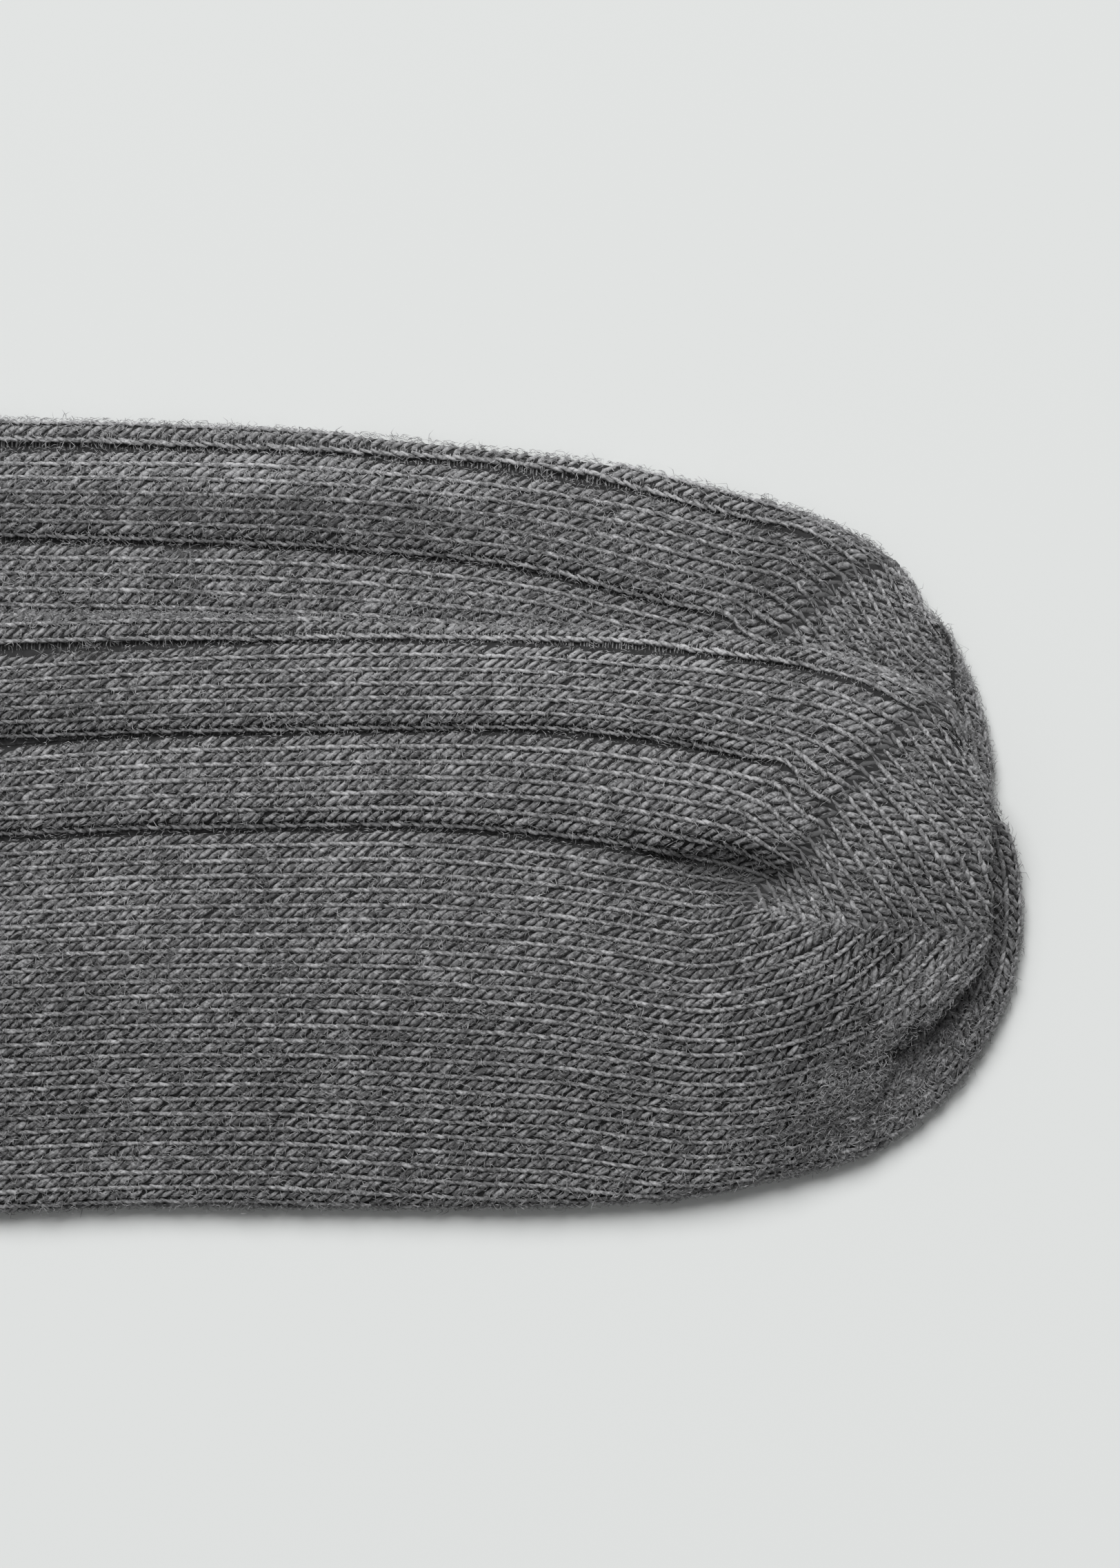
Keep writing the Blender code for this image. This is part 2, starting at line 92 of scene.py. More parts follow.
LIP_DEPTH = 4.6           # from the lip's crest down to its underside
LIP_BACK = 6.0            # the lip's own section starts this far in
LIP_UNDERCUT = 3.2        # the valley under the lip reaches this far in
LIP_BRIDGE = 11.0         # from here out the lip keeps its lift, and bridges the step underneath
STRIP_HEIGHT = 4.2        # of the layer that shows past the lip
# The lip's section: in from its edge, and down from its crest or up from the middle of its depth.
LIP_CREST = ((4.2, 0.25), (LIP_RADIUS, 0.75), (0.8, 1.5))
LIP_EDGE = ((0.0, 0.1), (0.3, -0.9))
# The strip's section: a share of the way from the valley to the fold, and up from the strip's height.
STRIP_PROFILE = ((0.35, 0.1), (0.6, 0.05), (0.8, -0.35), (0.92, -0.95))
STRIP_POINTS = 6          # of a toe row, from the valley out
ANKLE_RUN = 14.0          # the spine runs straight on from the foot's first row this far,
ANKLE_RADIUS = 45.0       # and then turns into the leg
LEG_TURN = math.radians(62.0)
LEG_LENGTH = 120.0
LEG_FRONT = 37.0          # the leg's edges, from its spine
LEG_BACK = 54.0
HEEL_BULGE = 14.0         # how far the heel stands out
HEEL_START = 6.0          # it starts this far before the foot's first row
HEEL_RUN = 34.0           # and runs this much longer than the spine's turn
CUFF_HEIGHT = 22.0        # the welt at the top of the leg, and how much it stands out
CUFF_WELT = 0.4
SHEET_END = 165.0         # past the toes
LEG_GROOVES = (0.0, 0.2745, 0.549, 0.8235)    # shares of the leg's back half, from the spine out
LEG_RIBS = (0.44, 0.853)  # places of the two outer grooves of its front half
LEG_RIBS_END = 0.42       # the back half's ribs fade out from this share of the leg's rows
LEG_RIBS_FADE = 0.12
TOE_FADE = 0.8            # the instep's grooves fade out over this share of the last table row
WEDGE_FADE = 8            # and the outermost one over this many rows of the wedge
LEG_STEPS = 40            # the spine's turn is added up in this many steps a row

# Foot sections from ankle to toe: spine x, y; instep edge x, y; sole edge x, y; groove places.
FRONT_FOOT = (
    (0.0, 59.7, 0.0, 94.9, 0.0, 0.6, 0.430, 0.847),
    (21.7, 60.7, 21.7, 94.7, 21.7, 1.4, 0.450, 0.875),
    (43.4, 61.1, 43.4, 94.4, 43.4, 1.3, 0.460, 0.892),
    (65.1, 61.3, 65.1, 93.6, 65.1, 1.2, 0.480, 0.923),
    (86.8, 59.7, 86.8, 92.8, 86.8, 1.4, 0.510, 0.933),
    (108.5, 56.1, 108.5, 91.7, 108.5, 2.9, 0.510, 0.924),
    (123.7, 52.1, 124.8, 90.1, 123.7, 6.1, 0.490, 0.915),
)
BACK_FOOT = (
    (0.0, 90.6, 0.0, 125.8, -0.5, 30.8, 0.465, 0.887),
    (27.1, 90.2, 27.1, 125.1, 26.5, 29.6, 0.461, 0.897),
    (54.3, 89.2, 54.3, 123.5, 53.5, 27.6, 0.466, 0.910),
    (81.4, 87.0, 81.4, 120.7, 80.5, 25.9, 0.455, 0.916),
    (97.7, 83.6, 98.5, 118.4, 96.5, 25.6, 0.420, 0.905),
    (113.1, 78.7, 116.5, 114.1, 110.5, 27.0, 0.440, 0.897),
)
# The instep's fold on to the toe, and the toe's rows: lip x, y; strip x, y; how far the lip is folded.
FRONT_WEDGE = ((130.5, 89.0), (137.2, 87.0), (144.3, 84.1))
BACK_WEDGE = ((123.5, 112.2), (130.2, 109.6), (135.6, 107.2))
FRONT_POCKET = (
    (150.3, 81.0, 150.3, 81.0, 0.0),
    (153.7, 74.0, 152.2, 73.0, 0.6),
    (156.2, 67.3, 155.8, 66.4, 0.9),
    (156.1, 61.0, 159.0, 60.6, 1.0),
    (156.2, 54.5, 160.7, 54.0, 1.0),
    (156.1, 47.0, 161.0, 46.5, 1.0),
    (154.6, 40.0, 160.0, 38.4, 1.0),
    (150.6, 34.2, 156.8, 29.8, 1.0),
    (145.1, 29.6, 152.2, 22.5, 1.0),
    (140.6, 28.8, 148.0, 17.7, 0.7),
    (136.6, 28.4, 142.8, 13.6, 0.35),
    (131.5, 28.0, 135.5, 9.2, 0.1),
    (123.7, 24.0, 123.7, 6.1, 0.0),
)
BACK_POCKET = (
    (141.1, 103.4, 141.1, 103.4, 0.0),
    (146.7, 97.0, 145.2, 96.0, 0.6),
    (150.3, 91.6, 150.0, 90.9, 0.9),
    (150.9, 82.4, 153.6, 82.6, 1.0),
    (151.6, 77.0, 155.4, 76.6, 1.0),
    (151.9, 70.0, 156.5, 68.9, 1.0),
    (150.6, 62.4, 155.6, 60.0, 1.0),
    (146.5, 56.0, 152.8, 51.5, 1.0),
    (139.0, 51.5, 146.5, 43.2, 1.0),
    (134.5, 49.5, 141.5, 38.8, 0.7),
    (129.5, 48.0, 134.5, 34.2, 0.35),
    (122.5, 47.0, 125.0, 30.2, 0.1),
    (111.0, 46.0, 110.5, 27.0, 0.0),
)
# A row's points, as shares of each rib and of the run from the last groove out to the fold.
RIB_STEPS = (0.0, 0.035, 0.08, 0.15, 0.27, 0.42, 0.58, 0.73, 0.85, 0.92, 0.965)
INSTEP_END = (0.0, 0.1, 0.22, 0.36, 0.5, 0.62, 0.74, 0.83, 0.9, 0.95, 0.985, 1.0)
SOLE_STEPS = (0.0, 0.04, 0.12, 0.3, 0.5, 0.7, 0.88, 0.96)
SOLE_END = (0.0, 0.07, 0.25, 0.48, 0.66, 0.8, 0.89, 0.945, 0.98, 1.0)
FAR_STEPS = (0.0, 0.12, 0.24, 0.36, 0.48, 0.58, 0.66, 0.74, 0.82, 0.88)
INNER_STEPS = 8
INNER_EVERY = 3           # the hollow takes one of so many rows
FOOT_SPLITS = 9           # rows made from one table row to the next, in each part
WEDGE_SPLITS = 4
TOE_SPLITS = 5
LEG_ROWS = 70

# The knit. Wales of the grooves that run to the toe, and of those of the leg alone.
GROOVES = (2.5, 9.5, 16.5)
LEG_ONLY_GROOVES = (23.5, 30.5, 37.5)
GROOVE_HALF = 0.19        # half the open groove, in wales
# How far the grooves open along the foot: distances before the toe, and half openings in wales.
GAPE_PLACES = (-150.0, -112.0, -98.0, -84.0, -62.0, -40.0, -18.0, -6.0, 0.0)
GAPES = (
    (0.50, 0.55, 0.42, 0.34, 0.18, 0.20, 0.34, 0.36, 0.19),
    (0.50, 0.50, 0.32, 0.27, 0.23, 0.21, 0.28, 0.30, 0.19),
    (0.30, 0.30, 0.28, 0.26, 0.24, 0.24, 0.30, 0.28, 0.19),
)
RIB_WALES = 7.0           # from groove to groove, of which these are knit wales of this width
RIB_KNITS = 6
RIB_WALE = (RIB_WALES - 2 * GROOVE_HALF) / RIB_KNITS
LADDER_HALF = 0.5         # half a groove's rungs, in wales
GROOVE_NEAR = 0.25        # a wale's edge this near to a groove ends with it at the seam
POCKET_WALE = 19.69       # the pocket's first wale, and how far past it the knit starts
POCKET_GAP = 0.001
NOTCH_WALE = 32.3         # past it the wales run on round the toe, under the lip
POCKET_END = 40.0         # wales from here on have no upper arm
EDGE_PITCH = 2.28         # of the wales beyond the outermost groove
EDGE_WALES = 4            # beyond the outermost groove, on to the fold
PLAIN_WALES = 29          # of the sole
SEAM_SIDE = 3             # of these, the ones that end at the instep's side of the seam
BEND_SAMPLES = 120        # points along the heel's bend, and across a band of the toe
BAND_SAMPLES = 60
FOLD_EXTRA = 1.7          # cloth that a fold takes up beyond its width in plan
SEAM_DIP = 0.6            # the toe's seam is pressed in by this at the deepest
SEAM_HALF = 0.9
SEAM_SHADE = 0.8          # half the width of its line of painted shade
SEAM_BARE = 1.5           # no fuzz lies nearer to it than about this

# Wales from the innermost groove to the sole's fold, by distance before the toe.
WALE_COUNTS = ((-173.0, -109.0, -66.0, -22.0, 0.0), (25.5, 25.3, 25.3, 24.3, 22.7))
# The knit's toe starts this far before the foot's last row.
TOE_RUN = {"front": 15.2, "back": 14.6}
# Two points of the toe that is drawn below, and where they lie on each sock.
TOE_DRAWN = ((123.7, 52.1), (133.7, 52.1))
TOE_LIES = {"front": TOE_DRAWN, "back": ((113.1, 78.7), (122.55, 77.71))}
# The toe of the front sock, on the sheet. The back one has the same toe, moved and turned.
SEAM = (
    (117.7, 49.4), (120.4, 52.1), (124.8, 55.3), (127.2, 58.3), (129.1, 61.3), (131.6, 65.6),
    (134.0, 68.1), (136.9, 71.3), (139.6, 74.9), (142.4, 77.9), (145.9, 79.7), (148.6, 80.8),
    (150.3, 81.0), (153.7, 83.0),
)
SEAM_WALES = (-2.0, 0.0, 2.5, 6.0, 9.5, 12.0, 16.5, POCKET_WALE)       # along the instep's side
SEAM_PLACES = (50.4, 46.5, 40.7, 30.4, 20.6, 13.2, 5.6, 0.0)           # and how far up the seam
SEAM_PITCH = 2.333                                                     # along the pocket's side
GORE_WALES = (POCKET_WALE, 22.5, 40.5)
GORE_X = (117.7, 126.2, 184.8)
GORE_Y = (49.4, 46.3, 41.6)
# Lower arms of the pocket's wales: at x, the height of the first arm, the pitch, wales to the fold.
ARM_FIRST = 19.5
ARM_STATIONS = (
    (119.35, 51.5, 2.4955, 20.0),
    (130.2, 57.0, 2.7125, 19.4),
    (141.05, 67.4, 3.1465, 18.8),
)
ARM_WALES = 12.5          # so many keep the pitch; those beyond share what is left
STRIP_PITCH = 2.3
STRIP_WALES = 18.8
STRIP_ROWS = slice(17, -4, 4)    # the pocket's rows that the strip's wales pass through
# Upper arms: at height y, the x of the wale named, that wale, the pitch, and the first wale up there.
UPPER_STATIONS = (
    (66.7, 141.9, 32.5, 2.6, 32.0),
    (57.5, 133.3, 27.5, 3.3, 26.5),
    (51.5, 137.8, 27.5, 3.05, 26.5),
)
CORNER_CLEAR = 2.5        # a lower arm passes no station nearer to its corner than this
ARM_LEAD = -6.0           # a toe wale comes from here on the foot, and bends here on the toe
INSTEP_BEND = 8.0
RIM_WALE = 0.8            # along the instep's fold: the wale that lies on it, and the pitch
RIM_PITCH = 2.25
INNER_WALES = (13.0, 3.5)    # from the first wale down they bend late, all the way this many further down
OUTER_WALES = (9.0, 4.0)     # and likewise follow the fold
TOE_LOWER = (100.0, 45.0)    # the toe's lower fold lies past this x and below this y
# How the knit wraps round an edge: it turns about an axis this far under the face, at the lip and at
# the fold.
LIP_DROP = 2.0
FOLD_DROP = 3.4
LIP_EXTRA = 1.25          # cloth past the lip's edge, as FOLD_EXTRA is past the fold
FOLD_BELOW = 3.4          # cloth from the fold's level round to straight under its axis
FOLD_END = -2.6           # no stitch lies further round than this
LIP_START = math.radians(-47.0)    # the angle round the pole where the lip begins
LIP_FOLDED = 0.05         # a toe row has a lip from this much of a fold on
FAR_OFF = 99.0            # stands for a place with no lip near
RAY_HEIGHT = 60.0         # rays come from above all, and from outside all
RAY_REACH = 14.0
LEAST_CELL = 0.5          # square millimetres of a stitch's cell that is worth knitting
STRIP_SHOWS = 1.2         # the strip is knitted from this far in under the lip
PAST_FOLD = 3.6           # and all else to this far round the fold
COVERED = 4.0             # nothing is knitted this far in under the other sock
# Dents: x, y, radii, depth, tilt. First the dark one where the last groove ends, then a soft one.
HOLLOWS = (
    (114.8, 54.2, 9.5, 3.2, 7.0, math.radians(-10.0)),
    (0.0, 74.0, 14.0, 4.0, 1.8, 0.0),
)
DENT_LOWEST = (2.3, 3.1)  # no dent goes nearer to the sock's underside: in the hollow, and on top
# The tone of the yarn, where 1 is about the spread from one stitch to the next and less is darker.
# Painted shade: the yarn is darkened in the dark dent.
DENT_SHADE_TONE = -5.0       # at the deepest of the dark dent
# Painted shade: the yarn is darkened along the toe's seam.
SEAM_SHADE_TONE = -5.5
# Painted shade: the rungs down in the grooves are darkened.
LADDER_SHADE_TONE = -2.0
COURSE_TONE = 0.22        # the spread from one run of courses to the next
COURSE_RUN = 3.0
BARE_TONE = -1.0          # on the leg, past the fuzz
FUZZ_END = -60.0          # the fuzz thins out from the foot's first row to this place up the leg
TOE_FUZZ = 0.75           # of the foot's fuzz


def linear(hex_colour):
    """sRGB hex to the linear colour that a shader takes."""
    parts = [int(hex_colour[i:i + 2], 16) / 255 for i in (1, 3, 5)]
    return tuple(p / 12.92 if p <= 0.04045 else ((p + 0.055) / 1.055) ** 2.4 for p in parts) + (1.0,)


def smooth_step(value):
    """From 0 to 1 as the value does, level at both ends."""
    t = np.clip(value, 0.0, 1.0)
    return t * t * (3.0 - 2.0 * t)


def quarter_round(value):
    """From 0 to 1 as the value does, on a quarter of a circle that starts upright."""
    t = np.clip(value, 0.0, 1.0)
    return np.sqrt(1.0 - (1.0 - t) ** 2)


def unit(vectors):
    """The vectors, made one long."""
    return vectors / np.maximum(np.linalg.norm(vectors, axis=-1), 1e-9)[..., None]


def arc_along(line):
    """The distance along a line at each of its points."""
    return np.concatenate([[0.0], np.cumsum(np.linalg.norm(np.diff(line, axis=0), axis=1))])


def refine(rows, splits):
    """A smooth curve through the rows of a table, with the given steps between two rows."""
    table = np.array(rows, float)
    padded = np.vstack([2 * table[0] - table[1], table, 2 * table[-1] - table[-2]])
    fine = []
    for i in range(1, len(table)):
        before, start, end, after = padded[i - 1:i + 3]
        for step in range(splits):
            t = step / splits
            fine.append(0.5 * (2 * start + (end - before) * t
                               + (2 * before - 5 * start + 4 * end - after) * t ** 2
                               + (3 * start - before - 3 * end + after) * t ** 3))
    fine.append(table[-1])
    return np.array(fine)


def leg_table(first_row, rows_wanted):
    """Sections of the leg and heel, from the cuff down to the foot's first table row."""
    ankle_arc = ANKLE_RADIUS * LEG_TURN
    total = ANKLE_RUN + ankle_arc + LEG_LENGTH
    spine = np.array(first_row[0:2])
    foot_front = first_row[3] - first_row[1]
    foot_back = first_row[1] - first_row[5]
    travelled = 0.0
    rows = []
    for row in range(1, rows_wanted + 1):
        step = (total * row / rows_wanted - travelled) / LEG_STEPS
        for _ in range(LEG_STEPS):
            travelled += step
            turned = np.clip((travelled - ANKLE_RUN) / ankle_arc, 0.0, 1.0)
            heading = math.pi - LEG_TURN * turned
            spine = spine + step * np.array([math.cos(heading), math.sin(heading)])
        outward = np.array([math.sin(heading), -math.cos(heading)])
        heel = math.sin(math.pi * smooth_step((travelled + HEEL_START) / (ankle_arc + HEEL_RUN))) ** 2
        blend = smooth_step(travelled / (ANKLE_RUN + ankle_arc))
        front = foot_front + (LEG_FRONT - foot_front) * blend
        back = foot_back + (LEG_BACK - foot_back) * blend + HEEL_BULGE * heel
        mid_rib = first_row[6] + (LEG_RIBS[0] - first_row[6]) * blend
        edge_rib = first_row[7] + (LEG_RIBS[1] - first_row[7]) * blend
        rows.append((*spine, *(spine + outward * front), *(spine - outward * back), mid_rib, edge_rib))
    return rows[::-1]


def top_height(inset, width):
    """The plain top face of a flattened sock, by the distance in from its fold on a row of a width."""
    pillow_run = PILLOW_RUN + PILLOW_SPREAD * max(0.0, width - NARROW_ROW)
    shoulder = (SHOULDER_HEIGHT - EDGE_HEIGHT) * quarter_round(inset / FOLD_RUN)
    pillow = (CROWN_HEIGHT - SHOULDER_HEIGHT) * (1 - (1 - np.clip(inset / pillow_run, 0, 1)) ** 2)
    return EDGE_HEIGHT + shoulder + pillow


def base_height(inset):
    """The underside's height by the distance in from the fold."""
    return EDGE_HEIGHT * (1.0 - quarter_round(inset / BASE_RUN))


def rib_dip(place, start, end):
    """Depth under the crown line across one rib that runs from groove to groove."""
    across = np.abs(2.0 * (place - start) / (end - start) - 1.0)
    return np.where((place >= start) & (place <= end), across ** RIB_SQUARENESS, 0.0)


def row_fractions(stops):
    """Fractions of a row: the same steps to each rib, then the steps out to the fold."""
    steps, last = (RIB_STEPS, INSTEP_END) if len(stops) == 3 else (SOLE_STEPS, SOLE_END)
    fractions = []
    for start, end in zip(stops[:-1], stops[1:]):
        fractions += [start + (end - start) * step for step in steps]
    fractions += [stops[-1] + (1.0 - stops[-1]) * step for step in last]
    return np.array(fractions)


def nearest_on(line, points, closed=True):
    """For each point, the nearest point of a polyline and its distance."""
    start = line if closed else line[:-1]
    side = (np.roll(line, -1, axis=0) if closed else line[1:]) - start
    found, gaps = [], []
    for chunk in np.array_split(points, max(1, len(points) // CHUNK)):
        offset = chunk[:, None, :] - start[None]
        along = np.clip((offset * side).sum(2) / np.maximum((side ** 2).sum(1), 1e-12), 0.0, 1.0)
        spot = start[None] + along[..., None] * side
        gap = np.linalg.norm(chunk[:, None, :] - spot, axis=2)
        rows, best = np.arange(len(chunk)), gap.argmin(1)
        found.append(spot[rows, best])
        gaps.append(gap[rows, best])
    return np.vstack(found), np.concatenate(gaps)


def inside(line, points):
    """Whether each point lies inside a closed outline."""
    end = np.roll(line, -1, axis=0)
    answer = []
    for chunk in np.array_split(points, max(1, len(points) // CHUNK)):
        x, y = chunk[:, 0][:, None], chunk[:, 1][:, None]
        crosses = (line[:, 1] > y) != (end[:, 1] > y)
        rise = np.where(end[:, 1] == line[:, 1], 1e-9, end[:, 1] - line[:, 1])
        x_cross = line[:, 0] + (y - line[:, 1]) * (end[:, 0] - line[:, 0]) / rise
        answer.append((crosses & (x < x_cross)).sum(1) % 2 == 1)
    return np.concatenate(answer)


class Sock:
    """One flattened sock: its rows in plan and the heights of its faces, all inside the stitches."""

    def __init__(self, foot, wedge, pocket, under=None):
        self.under = under
        self.side = "front" if under else "back"
        leg = leg_table(foot[0], LEG_ROWS)
        self.leg_rows = len(leg)
        self.sections = np.vstack([np.array(leg), refine(foot, FOOT_SPLITS)])
        self.pole = self.sections[-1, 0:2].copy()
        edge_row = tuple(self.sections[-1, 2:4])
        wedge_rows = refine((edge_row, *wedge, pocket[0][0:2]), WEDGE_SPLITS)[1:-1]
        pocket_rows = refine(pocket, TOE_SPLITS)[:-1]
        far = np.linalg.norm(pocket_rows[:, 0:2] - self.pole, axis=1)
        near = np.linalg.norm(pocket_rows[:, 2:4] - self.pole, axis=1)
        beyond = np.where((far > near)[:, None], pocket_rows[:, 0:2], pocket_rows[:, 2:4])
        self.cloth_outline = np.vstack([self.sections[:, 2:4], wedge_rows, beyond, self.sections[::-1, 4:6]])
        spine = self.sections[:, 0:2]
        self.sections[:, 2:4] = self.pulled_in(spine, self.sections[:, 2:4])
        self.sections[:, 4:6] = self.pulled_in(spine, self.sections[:, 4:6])
        self.wedge = self.pulled_in(self.pole, wedge_rows)
        pocket_rows[:, 0:2] = self.pulled_in(self.pole, pocket_rows[:, 0:2])
        pocket_rows[:, 2:4] = self.pulled_in(self.pole, pocket_rows[:, 2:4])
        self.pocket = pocket_rows
        beyond = self.pulled_in(self.pole, beyond)
        self.outline = np.vstack([self.sections[:, 2:4], self.wedge, beyond, self.sections[::-1, 4:6]])
        self.travelled = arc_along(spine)

    @staticmethod
    def pulled_in(start, edge):
        """The shell's edge, which is inside the cloth's by what the stitches stand proud."""
        way = edge - start
        return edge - PROUD * way / np.linalg.norm(way, axis=1)[:, None]

    def lift(self, points):
        """Height of the underside: over the sock underneath, then down to the surface."""
        if not self.under:
            return np.zeros(len(points))
        outline = self.under.cloth_outline
        _, gap = nearest_on(outline, points)
        inset = np.where(inside(outline, points), gap, -gap)
        heel, foot, toe, tip = LAP_SOLE
        x = points[:, 0]
        sole = smooth_step((x - heel) / (foot - heel)) * smooth_step((tip - x) / (tip - toe))
        outside = LAP_ENDS + (LAP_OUTSIDE - LAP_ENDS) * sole
        return (CROWN_HEIGHT + LAP_GAP) * smooth_step((inset + outside) / (outside + LAP_INSIDE))

    def plain_row(self, start, edge, stops, strengths, welt=0.0):
        """A top row from the spine to the fold, with a groove at each stop."""
        run = np.linalg.norm(edge - start)
        fractions = row_fractions(stops)
        plan = start + (edge - start) * fractions[:, None]
        inset = (1.0 - fractions) * run
        dip = np.zeros(len(fractions))
        for i, (left, right) in enumerate(zip(stops[:-1], stops[1:])):
            weight = np.where(fractions < (left + right) / 2, strengths[i], strengths[i + 1])
            dip = np.maximum(dip, weight * rib_dip(fractions, left, right))
        fold_rib = rib_dip(inset, (1 - stops[-1]) * run - RIB_WIDTH, (1 - stops[-1]) * run)
        dip = np.maximum(dip, strengths[-1] * np.where(fractions >= stops[-1], fold_rib, 0.0))
        slots = np.resize(SLOT_DEPTHS, len(stops))
        for stop, strength, depth in zip(stops, strengths, slots):
            slot = np.exp(-((fractions - stop) * run / SLOT_HALF) ** 2)
            dip += strength * slot * depth / GROOVE_DEPTH
        height = self.lift(plan) + top_height(inset, run) - GROOVE_DEPTH * dip
        height += welt * quarter_round(inset / FOLD_RUN) - PROUD * quarter_round(inset / FOLD_RUN)
        return np.column_stack([plan, height])

    def pocket_row(self, lip_edge, strip_edge, fold):
        """A toe row: plain where the fold is 0, a lip over a lower layer where it is 1."""
        lip_run = np.linalg.norm(lip_edge - self.pole)
        strip_run = np.linalg.norm(strip_edge - self.pole)
        plain_edge = lip_edge if lip_run > strip_run else strip_edge
        plain = self.plain_row(self.pole, plain_edge, LEG_GROOVES, (0.0, 0.0, 0.0, 0.0))
        outward = (lip_edge - self.pole) / lip_run
        valley = min(lip_run, strip_run) - LIP_UNDERCUT
        ledge = strip_run - valley
        runs_out = [lip_run - run for run, _ in LIP_CREST + LIP_EDGE]
        runs_out += [lip_run - LIP_CURL, valley]
        runs_out += [valley + share * ledge for share, _ in STRIP_PROFILE]
        runs_out.append(strip_run)
        face_steps = len(plain) - len(runs_out)
        face_runs = (lip_run - LIP_BACK) * np.arange(face_steps) / (face_steps - 1)
        runs = np.append(face_runs, runs_out)
        plan = self.pole + outward * runs[:, None]
        plan[-1] = strip_edge
        bridge = np.minimum(face_runs, lip_run - LIP_BRIDGE)
        lift = self.lift(self.pole + outward * bridge[:, None])
        face = lift + top_height(lip_run - face_runs, lip_run) - PROUD
        crest = face[-1]
        ground = self.lift(plan[-1:])[0]
        strip = ground + STRIP_HEIGHT - PROUD
        under_lip = max(crest - LIP_DEPTH, strip + 1.0)
        middle = (crest + under_lip) / 2
        heights = [crest - drop for _, drop in LIP_CREST]
        heights += [middle + rise for _, rise in LIP_EDGE]
        heights += [under_lip, (under_lip + strip) / 2]
        heights += [strip + rise for _, rise in STRIP_PROFILE]
        heights.append(ground + EDGE_HEIGHT)
        lipped = np.column_stack([plan, np.append(face, heights)])
        return plain * (1 - fold) + lipped * fold

    def far_row(self, start, edge):
        """The face underneath, from the spine out to where the fold begins to rise."""
        run = np.linalg.norm(edge - start)
        fractions = np.append(FAR_STEPS, [1.0 - share * BASE_RUN / run for share in BASE_STEPS])
        plan = start + (edge - start) * fractions[:, None]
        return np.column_stack([plan, self.lift(plan) + base_height((1.0 - fractions) * run)])

    def inner_rows(self, start, edge):
        """The plain inner face: its top row, and its bottom row without the shared fold."""
        run = np.linalg.norm(edge - start)
        fractions = np.linspace(0.0, 1.0 - INNER_INSET / run, INNER_STEPS)
        plan = start + (edge - start) * fractions[:, None]
        lift = self.lift(plan)
        inset = (1.0 - fractions) * run
        ceiling = lift + np.maximum(top_height(inset, run) - PROUD - WALL, INNER_SEAT)
        ceiling[-1] = lift[-1] + INNER_SEAT
        top = np.column_stack([plan, ceiling])
        bottom = np.column_stack([plan, lift + BASE_WALL])[:-1:2]
        return top, bottom


def rib_strengths(index, sock):
    """How deep the three near-side grooves are at a section, and the share of the leg's ribs."""
    leg_share = 1.0 - smooth_step((index - LEG_RIBS_END * sock.leg_rows) / (LEG_RIBS_FADE * sock.leg_rows))
    left = len(sock.sections) - 1 - index
    toe_fade = smooth_step((left + 1.0) / (TOE_FADE * FOOT_SPLITS))
    return (toe_fade, toe_fade, 1.0), leg_share


class Shell:
    """Collects one closed wall, with each point's way across and along the knit for its relief."""

    def __init__(self):
        self.points = []
        self.knit = []
        self.faces = []
        self.kinds = []
        self.ceiling = []

    def row(self, points, course, side, ceiling=False):
        first = len(self.points)
        if ceiling:
            self.ceiling += range(first, first + len(points))
        start = np.asarray(points[0][:2])
        for point in points:
            self.points.append(tuple(point))
            across = math.hypot(point[0] - start[0], point[1] - start[1]) * side
            self.knit.append((across, course))
        return list(range(first, len(self.points)))

    def face(self, corners, kind):
        distinct = []
        for corner in corners:
            if corner not in distinct:
                distinct.append(corner)
        if len(distinct) > 2:
            self.faces.append(distinct)
            self.kinds.append(kind)

    def strip(self, row_a, row_b, kind):
        for i in range(len(row_a) - 1):
            self.face((row_a[i], row_a[i + 1], row_b[i + 1], row_b[i]), kind)

    def zip(self, ring_a, ring_b, kind):
        """Triangles between two open chains of different lengths, end to end."""
        i = j = 0
        while i < len(ring_a) - 1 or j < len(ring_b) - 1:
            ahead_a = (i + 1) / (len(ring_a) - 1) if i < len(ring_a) - 1 else 2.0
            ahead_b = (j + 1) / (len(ring_b) - 1) if j < len(ring_b) - 1 else 2.0
            if ahead_a <= ahead_b:
                self.face((ring_a[i], ring_a[i + 1], ring_b[j]), kind)
                i += 1
            else:
                self.face((ring_a[i], ring_b[j + 1], ring_b[j]), kind)
                j += 1


# Faces of the wall: on top, the strip under the lip, underneath, and in the hollow.
NEAR, STRIP, FAR, INNER = 0, 1, 2, 3


def fan_row(shell, pole, points, course, fold=(), ceiling=False):
    """A row of the toe's fan: it starts at the pole that all share, and may end at a shared fold."""
    return [pole] + shell.row(points, course, 1, ceiling)[1:] + list(fold)


